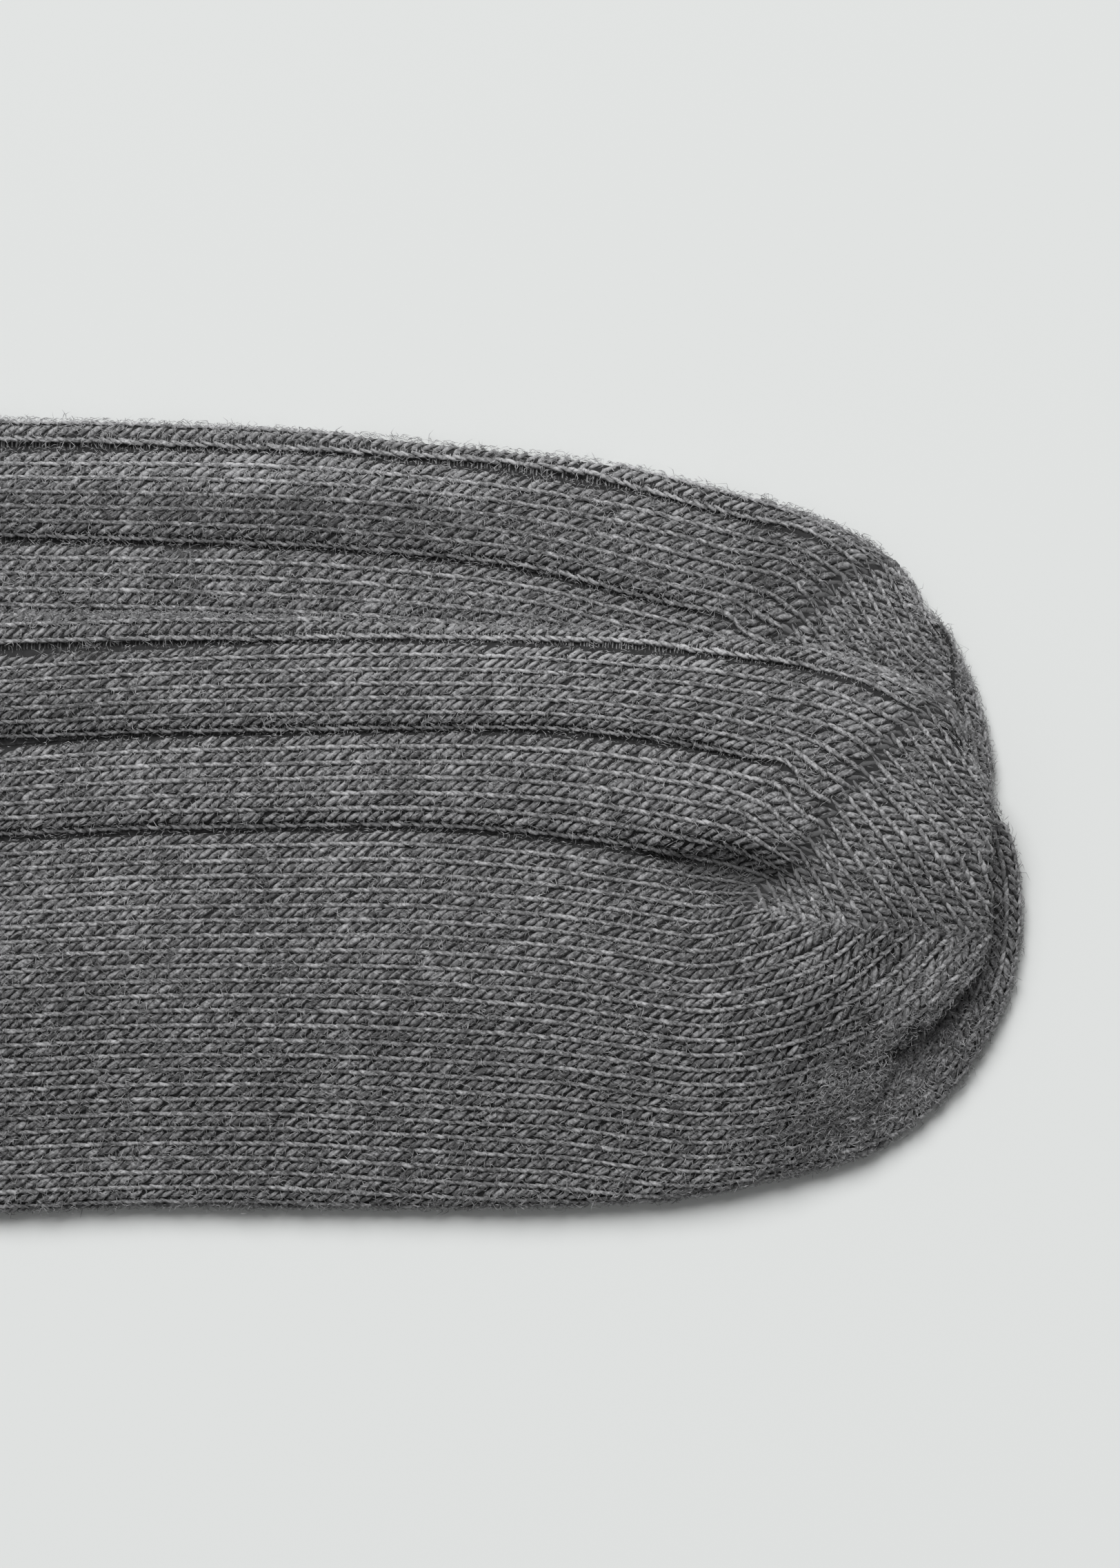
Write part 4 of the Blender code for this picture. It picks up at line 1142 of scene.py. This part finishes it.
class Cells:
    """The cells of one sock's stitches on the unrolled sheet, and the way from there to its wall."""

    def __init__(self, knit, course, covered_by=None):
        bands = knit_bands(knit, course)
        self.knit = knit
        corners = np.vstack(bands.corners)
        kind, part, role = np.array(bands.kind), np.array(bands.part), np.array(bands.role)
        side_a, side_b = corners[:, 3] - corners[:, 0], corners[:, 2] - corners[:, 1]
        area = np.abs(side_a[:, 0] * side_b[:, 1] - side_a[:, 1] * side_b[:, 0]) / 2
        middle = corners.mean(1)
        rim = knit.rim_gap(middle)
        _, gap = nearest_on(knit.sock.outline, middle)
        keep = (area > LEAST_CELL) & ~((kind == "strip") & (rim > STRIP_SHOWS) & (rim < FAR_OFF))
        keep &= inside(knit.sock.outline, middle) | (gap < PAST_FOLD)
        if covered_by is not None:
            _, gap = nearest_on(covered_by, middle)
            keep &= ~(inside(covered_by, middle) & (gap > COVERED))
        self.corners, self.kind, self.part, self.role = corners[keep], kind[keep], part[keep], role[keep]
        self.area = area[keep]
        self.shade_places = np.arange(knit.sock.sections[:, 0].min(), SHEET_END, COURSE_RUN)
        random = np.random.default_rng(SEED * 5 + len(knit.sock.side))
        self.shades = random.normal(0, COURSE_TONE, len(self.shade_places))

    def at(self, chosen, place, across):
        """For some cells: points on the wall, the ways out of it there and whether they are on it.

        place is along the course and across is over the wale, from 0 to 1 within the cell.
        """
        shares = ((1 - across) * (1 - place), (1 - across) * place, across * (1 - place), across * place)
        flat = sum(share[:, None] * self.corners[chosen, i] for i, share in enumerate(shares))
        spots, ways = np.zeros((len(flat), 3)), np.zeros((len(flat), 3))
        good = np.zeros(len(flat), bool)
        for name in ("foot", "face", "strip"):
            some = np.flatnonzero(self.kind[chosen] == name)
            if len(some):
                spots[some], ways[some], good[some] = self.knit.on_shell(flat[some], name)
        some = np.flatnonzero((self.part[chosen] == "toe") & good)
        if len(some):
            _, gap = nearest_on(self.knit.toe.seam_line, spots[some, 0:2], closed=False)
            spots[some, 2] -= SEAM_DIP * np.exp(-(gap / SEAM_HALF) ** 2)
        return spots, ways, good

    def fuzzy(self, points):
        """How fuzzy the knit is: 1 on the foot and toe, less and less up the leg."""
        return np.clip(1.0 - points[:, 0] / FUZZ_END, 0.0, 1.0)

    def tone(self, points):
        """The tone of the yarn, over the sheet: painted shade in the dark dent and at the seam, and darker up
        the leg.
        """
        _, gap = nearest_on(self.knit.toe.seam_line, points, closed=False)
        # Painted shade along the toe's seam; the leg's yarn is darker past the fuzz.
        tone = SEAM_SHADE_TONE * np.exp(-(gap / SEAM_SHADE) ** 2) + BARE_TONE * (1.0 - self.fuzzy(points))
        tone += sum(cloud[4] * bowl(points, cloud) for cloud in PATCHES_AND_PAINTED_LIGHT[self.knit.sock.side])
        tone += np.interp(points[:, 0], self.shade_places, self.shades)
        # Painted shade in the front sock's dark dent.
        if self.knit.sock.under:
            tone += DENT_SHADE_TONE * bowl(points, HOLLOWS[0])
        return tone


def sheet_to_frame(points):
    """Millimetres on the sheet to metres in the frame."""
    out = np.array(points, float)
    out[..., 0] -= SHEET_CENTRE[0]
    out[..., 1] -= SHEET_CENTRE[1]
    return out * MM


def make_mesh(name, points, loops, starts, tone):
    """A smooth mesh from flat arrays, with the tone that its yarn reads."""
    data = bpy.data.meshes.new(name)
    data.vertices.add(len(points))
    data.vertices.foreach_set("co", np.ascontiguousarray(points, np.float32).ravel())
    data.loops.add(len(loops))
    data.loops.foreach_set("vertex_index", np.ascontiguousarray(loops, np.int32))
    data.polygons.add(len(starts))
    data.polygons.foreach_set("loop_start", np.ascontiguousarray(starts, np.int32))
    data.update(calc_edges=True)
    data.polygons.foreach_set("use_smooth", np.ones(len(starts), bool))
    attribute = data.attributes.new("tone", "FLOAT", "POINT")
    attribute.data.foreach_set("value", np.ascontiguousarray(tone, np.float32))
    data.validate()
    return data


def tubes(centres, radii, ways, tones, sides):
    """Closed tubes along rows of centres: points, the corners of faces, where each starts, and tones."""
    count, rings = centres.shape[0], centres.shape[1]
    along = unit(np.gradient(centres, axis=1))
    side = unit(np.cross(along, ways))
    up = np.cross(side, along)
    angle = 2 * math.pi * np.arange(sides) / sides
    ring = (side[:, :, None] * np.cos(angle)[:, None] + up[:, :, None] * np.sin(angle)[:, None])
    points = centres[:, :, None] + ring * radii[:, :, None, None]
    first = (np.arange(count) * rings * sides)[:, None, None]
    k = (np.arange(rings - 1) * sides)[None, :, None]
    j = np.arange(sides)[None, None, :]
    after = (j + 1) % sides
    quads = np.stack([first + k + j, first + k + sides + j, first + k + sides + after, first + k + after], -1)
    quads = quads.reshape(-1)
    starts_cap = (first[:, :, 0] + np.arange(sides)[None]).reshape(-1)
    ends_cap = (first[:, :, 0] + (rings - 1) * sides + np.arange(sides)[::-1][None]).reshape(-1)
    loops = np.concatenate([quads, starts_cap, ends_cap])
    caps = len(quads) + np.arange(0, 2 * count * sides, sides)
    starts = np.concatenate([np.arange(0, len(quads), 4), caps])
    return points.reshape(-1, 3), loops, starts, np.repeat(tones, rings * sides)


def leg_tubes(cells, chosen, path, rings, sides, swell, random):
    """One leg of each chosen stitch as a closed tube; the fine ones run on in straighter lines."""
    fine = path is FINE_LEG
    loose = FINE_SHARE if fine else 1.0
    count = len(chosen)
    table = np.array(path)
    knots = np.linspace(0, 1, len(path))
    shift_along = random.normal(0, ALONG_SPREAD, count)
    if path is RUNG:
        shift_along += np.resize(RUNG_PLACES, count)
    shift_across = random.normal(0, ACROSS_SPREAD * loose, count)
    lean = random.normal(0, LEAN_SPREAD * loose, count)
    size = np.clip(random.normal(1, SIZE_SPREAD, count), *SIZE_LIMITS)
    tones = np.clip(random.normal(0, TONE_SPREAD, count), -TONE_LIMIT, TONE_LIMIT)
    centres, ways, radii = [], [], []
    good = np.ones(count, bool)
    corners = cells.corners[chosen]
    width = np.linalg.norm(corners[:, 0:2].sum(1) - corners[:, 2:4].sum(1), axis=1) / 2
    size *= np.clip(width / WALE_PITCH, *WIDTH_LIMITS["fine" if fine else "fat"])
    for t in np.linspace(0, 1, rings):
        place, across, height, radius = (np.interp(t, knots, table[:, i]) for i in range(4))
        spot, way, found = cells.at(chosen, place + shift_along, across + shift_across + lean * (t - 0.5))
        centres.append(spot + way * height * size[:, None])
        ways.append(way)
        radii.append(radius * swell * size)
        good &= found
    centres, radii, ways = np.stack(centres, 1), np.stack(radii, 1), np.stack(ways, 1)
    longest = np.linalg.norm(np.diff(centres, axis=1), axis=2).max(1)
    good &= (longest < LONGEST_STEP) & ((centres[:, :, 2] - radii).min(1) > FLOOR_GAP)
    # Rungs get painted shade, as they lie down in the grooves.
    tones += cells.tone(centres[:, rings // 2, 0:2]) + (LADDER_SHADE_TONE if path is RUNG else 0.0)
    return tubes(centres[good], radii[good], ways[good], tones[good], sides)


def spindles(starts, middles, ends, width, tones):
    """Fine closed hairs: a point, a ring of three and a point."""
    count = len(starts)
    way = unit(ends - starts)
    side = unit(np.cross(way, np.array(HAIR_SIDE)))
    up = np.cross(side, way)
    ring = [middles + width[:, None] * (side * math.cos(a) + up * math.sin(a))
            for a in (0.0, 2 * math.pi / 3, 4 * math.pi / 3)]
    points = np.stack([starts, *ring, ends], 1).reshape(-1, 3)
    pattern = np.array([0, 1, 2, 0, 2, 3, 0, 3, 1, 4, 2, 1, 4, 3, 2, 4, 1, 3])
    loops = (np.arange(count)[:, None] * 5 + pattern[None]).reshape(-1)
    return points, loops, np.arange(0, len(loops), 3), np.repeat(tones, 5)


def hairs(cells, count, style, random):
    """Fibres on a sock: they lie on the knit, dense where it has felted, and stand off its folds."""
    follow, shortest, longest, rise, mottle, felts = style
    pool = np.flatnonzero(cells.role == FAT)
    middle = cells.corners[pool].mean(1)
    weight = cells.fuzzy(middle)
    for felted in FELTED if cells.knit.sock.under else ():
        weight += felts * felted[4] * bowl(middle, felted)
    _, gap = nearest_on(cells.knit.sock.outline, middle)
    weight += RIM_FUZZ * felts * (gap < RIM_RUN)
    _, gap = nearest_on(cells.knit.toe.seam_line, middle, closed=False)
    weight *= cells.area[pool] * cells.fuzzy(middle) * (1 - np.exp(-(gap / SEAM_BARE) ** 2))
    weight *= np.where(cells.part[pool] == "toe", TOE_FUZZ, 1.0)
    chosen = random.choice(pool, count, p=weight / weight.sum())
    place, across = random.random(count), random.random(count)
    spot, way, good = cells.at(chosen, place, across)
    spot, way = spot[good], way[good]
    count = len(spot)
    # The way that a fat leg crosses its cell.
    corners = cells.corners[chosen[good]]
    leg = corners[:, 1] * 0.2 + corners[:, 3] * 0.8 - corners[:, 0] * 0.65 - corners[:, 2] * 0.35
    flat = random.normal(0, 1, (count, 3))
    flat[:, 0:2] += follow * leg / np.linalg.norm(leg, axis=1)[:, None]
    flat -= (flat * way).sum(1)[:, None] * way
    flat = unit(flat)
    steep = np.clip(1 - np.abs(way[:, 2]) / STEEP, 0, 1)
    length = random.uniform(shortest, longest, count) * (1 - STEEP_SHORTER * steep)
    lift = random.uniform(HAIR_SINK, rise, count) + steep * random.uniform(0.0, STEEP_LIFT, count)
    bend = random.normal(0, HAIR_BEND, count) * length
    sideways = np.cross(flat, way)
    start = spot + way * HAIR_START
    end = start + flat * length[:, None] + way * lift[:, None]
    arch = HAIR_ARCH + HAIR_ARCH * length
    middle = (start + end) / 2 + way * arch[:, None] + sideways * bend[:, None]
    above = np.minimum(np.minimum(start[:, 2], end[:, 2]), middle[:, 2]) > HAIR_GAP
    width = random.uniform(*HAIR_RADII, count)
    tones = np.clip(random.normal(HAIR_TONE, mottle, count) + STEEP_TONE * steep,
                    -HAIR_TONE_LIMIT, HAIR_TONE_LIMIT)
    tones += cells.tone(spot[:, 0:2])
    return spindles(start[above], middle[above], end[above], width[above], tones[above])


def feed(tree, node, inputs):
    """Sets each named input of a node to a value, or links it to a socket or a node's first output."""
    for name, value in inputs.items():
        if isinstance(value, bpy.types.Node):
            value = value.outputs[0]
        if isinstance(value, bpy.types.NodeSocket):
            tree.links.new(value, node.inputs[name])
        else:
            node.inputs[name].default_value = value


def add_node(tree, kind, inputs, **settings):
    """Adds a node with its settings, and sets or links its inputs."""
    node = tree.nodes.new(kind)
    for name, value in settings.items():
        setattr(node, name, value)
    feed(tree, node, inputs)
    return node


def new_material(name):
    """A material with its node tree and its shader."""
    material = bpy.data.materials.new(name)
    material.use_nodes = True
    return material, material.node_tree, material.node_tree.nodes["Principled BSDF"]


def fibres_in(tree, place, angle, length, width):
    """Fine fibres in the wool that lie one way, as a stretched noise; sizes in millimetres."""
    turned = add_node(tree, "ShaderNodeVectorRotate", {"Vector": place, "Angle": math.radians(angle)},
                      rotation_type="Z_AXIS")
    scale = (1 / (length * MM), 1 / (width * MM), 1 / (length * MM))
    scaled = add_node(tree, "ShaderNodeVectorMath", {0: turned, 1: scale}, operation="MULTIPLY")
    return add_node(tree, "ShaderNodeTexNoise", {"Vector": scaled, "Scale": 1.0, "Detail": 0.0})


def wool_yarn(name, dark, light):
    """Heathered wool-blend yarn, matt and a little fuzzy, with its fibres drawn along and across."""
    material, tree, shader = new_material(name)
    place = add_node(tree, "ShaderNodeTexCoord", {}).outputs["Object"]
    # Real fibres are 0.03 mm thick; their clumps are drawn 0.3 mm wide, so that they show at all.
    rising = fibres_in(tree, place, -38.0, 2.0, 0.32)
    falling = fibres_in(tree, place, 34.0, 2.0, 0.32)
    crossing = fibres_in(tree, place, 82.0, 1.4, 0.4)
    pair = add_node(tree, "ShaderNodeMath", {0: rising, 1: falling}, operation="MAXIMUM")
    fibres = add_node(tree, "ShaderNodeMath", {0: crossing, 1: 0.45, 2: pair}, operation="MULTIPLY_ADD")
    # The heather of the spun wool: flecks of about 1.2 mm, and cloudy shades of about 12 mm.
    flecks = add_node(tree, "ShaderNodeTexNoise",
                      {"Vector": place, "Scale": 800.0, "Detail": 1.0, "Roughness": 0.5})
    clouds = add_node(tree, "ShaderNodeTexNoise",
                      {"Vector": place, "Scale": 85.0, "Detail": 2.0, "Roughness": 0.5})
    tone = add_node(tree, "ShaderNodeAttribute", {}, attribute_name="tone").outputs["Fac"]
    shade = -0.9
    for part, share in ((fibres, 1.5), (flecks, 0.8), (clouds, 0.5), (tone, 0.14)):
        shade = add_node(tree, "ShaderNodeMath", {0: part, 1: share, 2: shade}, operation="MULTIPLY_ADD")
    ramp = add_node(tree, "ShaderNodeMapRange", {"Value": shade, "From Min": 0.65, "From Max": 1.55})
    blend = add_node(tree, "ShaderNodeMix", {"Factor": ramp, 6: dark, 7: light}, data_type="RGBA")
    relief = add_node(tree, "ShaderNodeBump", {"Strength": 0.6, "Distance": 0.12 * MM, "Height": fibres})
    feed(tree, shader, {
        "Base Color": blend.outputs[2], "Normal": relief, "Roughness": 0.95,
        "Specular IOR Level": 0.15, "Sheen Weight": 0.2, "Sheen Roughness": 0.45})
    return material


def wool_cloth(name, colour, relief_depth):
    """The knitted wall itself: the stitches' shaded roots, or a face that is seldom seen.

    The relief is the knit's own pitch: the UV map "knit" counts wales across and courses along.
    """
    material, tree, shader = new_material(name)
    knit = add_node(tree, "ShaderNodeUVMap", {}, uv_map="knit")
    parts = add_node(tree, "ShaderNodeSeparateXYZ", {"Vector": knit})
    wale = add_node(tree, "ShaderNodeMath", {0: parts.outputs["X"]}, operation="FRACT")
    centred = add_node(tree, "ShaderNodeMath", {0: wale, 1: 0.5}, operation="SUBTRACT")
    vee = add_node(tree, "ShaderNodeMath", {0: centred}, operation="ABSOLUTE")
    slant = add_node(tree, "ShaderNodeMath", {0: parts.outputs["Y"], 1: vee}, operation="ADD")
    turns = add_node(tree, "ShaderNodeMath", {0: slant, 1: 2 * math.pi}, operation="MULTIPLY")
    wave = add_node(tree, "ShaderNodeMath", {0: turns}, operation="SINE")
    column = add_node(tree, "ShaderNodeMath", {0: wale, 1: math.pi}, operation="MULTIPLY")
    crown = add_node(tree, "ShaderNodeMath", {0: column}, operation="SINE")
    height = add_node(tree, "ShaderNodeMath", {0: wave, 1: 0.35, 2: crown}, operation="MULTIPLY_ADD")
    relief = add_node(tree, "ShaderNodeBump", {"Strength": 1.0, "Distance": relief_depth, "Height": height})
    feed(tree, shader, {"Normal": relief, "Base Color": colour, "Roughness": 1.0, "Specular IOR Level": 0.1})
    return material


def dent(shell, sock):
    """Presses the hollows into the wall, down to near its lower layer at most."""
    near = {i for face, kind in zip(shell.faces, shell.kinds) if kind == NEAR for i in face}
    ceiling = set(shell.ceiling)
    picked = sorted(near | ceiling)
    points = np.array([shell.points[i] for i in picked])
    depths = sum(hollow[4] * bowl(points, hollow) for hollow in HOLLOWS)
    lowest = sock.lift(points[:, 0:2])
    lowest += np.array([DENT_LOWEST[0] if i in ceiling else DENT_LOWEST[1] for i in picked])
    lowered = np.maximum(points[:, 2] - depths, np.minimum(lowest, points[:, 2]))
    for i, point, height in zip(picked, points, lowered):
        shell.points[i] = (point[0], point[1], height)


def shell_object(name, sock, shell, materials):
    """The closed wall of a sock as an object."""
    top_outer, bottom_outer = outer_rows(shell, sock)
    top_inner, bottom_inner = inner_face(shell, sock)
    shell.zip(top_outer, top_inner, NEAR)
    shell.zip(bottom_outer, bottom_inner, FAR)
    for end in (0, -1):
        shell.face((top_outer[end], bottom_outer[end], top_inner[end]), FAR)
    for end in (0, -1):
        shell.face((bottom_outer[end], bottom_inner[end], top_inner[end]), FAR)
    if sock.under:
        dent(shell, sock)
    mesh = bmesh.new()
    verts = [mesh.verts.new(point) for point in sheet_to_frame(shell.points)]
    layer = mesh.loops.layers.uv.new("knit")
    for corners, kind in zip(shell.faces, shell.kinds):
        face = mesh.faces.new([verts[i] for i in corners])
        face.material_index = 0 if kind in (NEAR, STRIP) else 1
        face.smooth = True
        for loop, i in zip(face.loops, corners):
            across, course = shell.knit[i]
            loop[layer].uv = (across / WALE_PITCH, course / COURSE_PITCH)
    bmesh.ops.recalc_face_normals(mesh, faces=mesh.faces)
    data = bpy.data.meshes.new(name)
    mesh.to_mesh(data)
    mesh.free()
    for material in materials:
        data.materials.append(material)
    return add_object(name, data)


def add_object(name, data):
    piece = bpy.data.objects.new(name, data)
    bpy.context.scene.collection.objects.link(piece)
    return piece


class Work:
    """What the steps share: both socks, their shells and their stitches."""

    socks = {}
    knits = {}
    cells = {}


# A sock's side, its node in the frame and its material slot.
SIDES = (
    ("front", "sock_front", "wool_front"),
    ("back", "sock_back", "wool_back"),
)
# The yarns' dark and light ends, the roots and the plain faces, as shares of the wool's colour.
FAT_TONES = (0.55, 2.3)
# Painted highlight: the fine legs and the fibres take a paler copy of the same wool.
FINE_HIGHLIGHT_TONES = (0.85, 2.8)
# Painted shade: the roots are a dark copy of the wool that shows between the stitches.
ROOT_SHADE_TONE = 0.2
PLAIN_TONE = 0.75
ROOT_RELIEF = 0.2 * MM
PLAIN_RELIEF = 0.6 * MM
TUBE_SIDES = 4
LEG_TUBE = (3, 3)         # rings and sides in the leg, which the photograph hides

# The stage, in metres. The light and the camera are placed from the middle of the photograph.
FLOOR_SIZE = 8.0
FLOOR_DROP = -0.0002      # the floor lies just under the socks
KEY_PLACE = (-1.8, 6.3, 7.8)
KEY_SIZE = 6.8            # large, for the photograph's soft shadows
CAMERA_HEIGHT = 2.0
CAMERA_REACH = 20.0


class SocksSettings(bpy.types.PropertyGroup):
    """What can be set: the knit, the wool and the stage"""

    course: bpy.props.FloatProperty(
        name="Course pitch", description="Length of one stitch along the sock",
        default=COURSE_PITCH * MM, min=1.0 * MM, max=4.0 * MM, unit="LENGTH", subtype="DISTANCE", precision=5)
    yarn: bpy.props.FloatProperty(
        name="Yarn width", description="How thick the yarn is, as a share of the photographed one",
        default=1.0, min=0.5, max=1.5, subtype="FACTOR")
    rings: bpy.props.IntProperty(
        name="Rings", description="Cross-sections along each leg of a stitch in the foot and toe",
        default=4, min=3, max=8)
    fibres: bpy.props.IntProperty(
        name="Loose fibres", description="Fine hairs on the front sock; the back one has half as many",
        default=24000, min=0, max=32000)
    nap: bpy.props.IntProperty(
        name="Nap", description="Short fibres along the front sock's stitches; the back one has half as many",
        default=23500, min=0, max=32000)
    wool: bpy.props.FloatVectorProperty(
        name="Wool", description="Mid tone of the heathered wool",
        default=linear("#7a7a7b"), size=4, min=0.0, max=1.0, subtype="COLOR")
    floor: bpy.props.FloatVectorProperty(
        name="Floor", description="Colour of the surface that the socks lie on",
        default=linear("#e6e8e7"), size=4, min=0.0, max=1.0, subtype="COLOR")
    key: bpy.props.FloatProperty(
        name="Key light", description="Power of the large soft light above the upper left",
        default=1090.0, min=0.0, max=5000.0, unit="POWER")
    fill: bpy.props.FloatProperty(
        name="Fill", description="Strength of the even light from all round",
        default=0.21, min=0.0, max=4.0)


def shaded(colour, factor):
    """A linear colour made darker or paler."""
    return tuple(min(1.0, part * factor) for part in colour[:3]) + (1.0,)


def place_piece(name, built, material):
    """A knitted piece as an object that rides with the frame."""
    points, loops, starts, tone = built
    if not len(points):
        return
    data = make_mesh(name, sheet_to_frame(points), loops, starts, tone)
    data.materials.append(material)
    piece = add_object(name, data)
    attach(piece, "root")


class SOCKS_OT_walls(bpy.types.Operator):
    """Builds the wall of both socks, which carries the stitches"""
    bl_idname = "socks.walls"
    bl_label = "Walls"

    def execute(self, context):
        settings = context.scene.socks
        back = Sock(BACK_FOOT, BACK_WEDGE, BACK_POCKET)
        front = Sock(FRONT_FOOT, FRONT_WEDGE, FRONT_POCKET, under=back)
        Work.socks = {"back": back, "front": front}
        for side, node, slot in SIDES:
            sock = Work.socks[side]
            shell = Shell()
            # The roots are painted shade: a dark copy of the wool, seen in the gaps between the stitches.
            roots = wool_cloth(f"wool knit roots {side}", shaded(settings.wool, ROOT_SHADE_TONE), ROOT_RELIEF)
            plain = wool_cloth(f"wool knit plain {side}", shaded(settings.wool, PLAIN_TONE), PLAIN_RELIEF)
            piece = shell_object(f"{side}_wall", sock, shell, (roots, plain))
            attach(piece, "root")
            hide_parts(node)
            Work.knits[side] = Knit(sock, shell)
        return {"FINISHED"}


class SOCKS_OT_stitches(bpy.types.Operator):
    """Knits the stitches of both socks onto their walls"""
    bl_idname = "socks.stitches"
    bl_label = "Stitches"

    def execute(self, context):
        settings = context.scene.socks
        if not Work.knits:
            raise RuntimeError("the walls are missing: run the walls step first")
        for side, _, slot in SIDES:
            random = np.random.default_rng(SEED + len(side))
            cover = Work.socks["front"].outline if side == "back" else None
            cells = Cells(Work.knits[side], settings.course / MM, cover)
            Work.cells[side] = cells
            fat = wool_yarn(f"heather wool yarn {side}",
                            *(shaded(settings.wool, tone) for tone in FAT_TONES))
            # The fine legs are the same yarn, given a paler copy of its wool as painted highlight.
            fine = wool_yarn(f"wool ply painted highlight {side}",
                             *(shaded(settings.wool, tone) for tone in FINE_HIGHLIGHT_TONES))
            styles = (
                (FAT, "fat_legs", FAT_LEG, fat),
                (FINE, "fine_legs", FINE_LEG, fine),
                (LADDER, "ladders", RUNG, fat),
            )
            for part in ("leg", "foot", "toe"):
                rings, sides = LEG_TUBE if part == "leg" else (settings.rings, TUBE_SIDES)
                for role, title, path, material in styles:
                    chosen = np.flatnonzero((cells.part == part) & (cells.role == role))
                    if role == LADDER:
                        chosen = np.repeat(chosen, len(RUNG_PLACES))
                    built = leg_tubes(cells, chosen, path, rings, sides, settings.yarn, random)
                    place_piece(f"{side}_{part}_{title}", built, material)
        return {"FINISHED"}


class SOCKS_OT_fibres(bpy.types.Operator):
    """Adds the fine loose fibres of the wool"""
    bl_idname = "socks.fibres"
    bl_label = "Fibres"

    def execute(self, context):
        settings = context.scene.socks
        if not Work.cells:
            raise RuntimeError("the stitches are missing: run the stitches step first")
        for side, _, slot in SIDES:
            random = np.random.default_rng(SEED * 3 + len(side))
            share = 1.0 if side == "front" else 0.5
            # The fibres share the fine legs' paler copy of the wool: painted highlight.
            material = bpy.data.materials[f"wool ply painted highlight {side}"]
            for title, count, style in (("fibres", settings.fibres, LOOSE), ("nap", settings.nap, NAP)):
                built = hairs(Work.cells[side], int(count * share), style, random)
                place_piece(f"{side}_{title}", built, material)
        return {"FINISHED"}


class SOCKS_OT_stage(bpy.types.Operator):
    """Sets the floor, the light and the camera of the photograph"""
    bl_idname = "socks.stage"
    bl_label = "Stage"

    def execute(self, context):
        settings = context.scene.socks
        bpy.ops.mesh.primitive_plane_add(size=FLOOR_SIZE, location=(0.0, 0.0, FLOOR_DROP))
        floor = context.active_object
        floor.name = "floor"
        paper, tree, shader = new_material("matt white paper")
        feed(tree, shader, {
            "Base Color": tuple(settings.floor), "Roughness": 1.0, "Specular IOR Level": 0.0})
        floor.data.materials.append(paper)
        middle = Vector(sheet_to_frame([[*PHOTO_CENTRE, 0.0]])[0])
        bpy.ops.object.light_add(type="AREA", location=middle + Vector(KEY_PLACE))
        key = context.active_object
        key.name = "key_light"
        key.data.shape = "DISK"
        key.data.size = KEY_SIZE
        key.data.energy = settings.key
        key.rotation_mode = "QUATERNION"
        key.rotation_quaternion = (middle - key.location).to_track_quat("-Z", "Y")
        world = bpy.data.worlds.new("even light")
        world.use_nodes = True
        background = world.node_tree.nodes["Background"]
        background.inputs["Color"].default_value = (1.0, 1.0, 1.0, 1.0)
        background.inputs["Strength"].default_value = settings.fill
        context.scene.world = world
        eye = middle + Vector((0.0, 0.0, CAMERA_HEIGHT))
        bpy.ops.object.camera_add(location=eye, rotation=(0.0, 0.0, 0.0))
        camera = context.active_object
        camera.name = "camera"
        long_side = PHOTO_WIDTH * PHOTO_SIZE[1] / PHOTO_SIZE[0] * MM
        # The photograph's scale is that of the socks' top.
        camera.data.lens = camera.data.sensor_width * (CAMERA_HEIGHT - CROWN_HEIGHT * MM) / long_side
        camera.data.clip_end = CAMERA_REACH
        context.scene.camera = camera
        context.scene.view_settings.view_transform = "Standard"
        return {"FINISHED"}


STEPS = (SOCKS_OT_walls, SOCKS_OT_stitches, SOCKS_OT_fibres, SOCKS_OT_stage)


class SOCKS_PT_panel(bpy.types.Panel):
    """The steps that build the socks, in order"""
    bl_label = "Socks"
    bl_idname = "SOCKS_PT_panel"
    bl_space_type = "VIEW_3D"
    bl_region_type = "UI"
    bl_category = "Socks"

    def draw(self, context):
        settings = context.scene.socks
        for name in SocksSettings.__annotations__:
            self.layout.prop(settings, name)
        for step in STEPS:
            self.layout.operator(step.bl_idname)


def register():
    for item in (SocksSettings, *STEPS, SOCKS_PT_panel):
        bpy.utils.register_class(item)
    bpy.types.Scene.socks = bpy.props.PointerProperty(type=SocksSettings)


def unregister():
    del bpy.types.Scene.socks
    for item in (SOCKS_PT_panel, *STEPS[::-1], SocksSettings):
        bpy.utils.unregister_class(item)


def main():
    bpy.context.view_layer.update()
    register()
    bpy.ops.object.select_all(action="DESELECT")
    for step in (bpy.ops.socks.walls, bpy.ops.socks.stitches, bpy.ops.socks.fibres, bpy.ops.socks.stage):
        step()


if __name__ == "__main__":
    main()
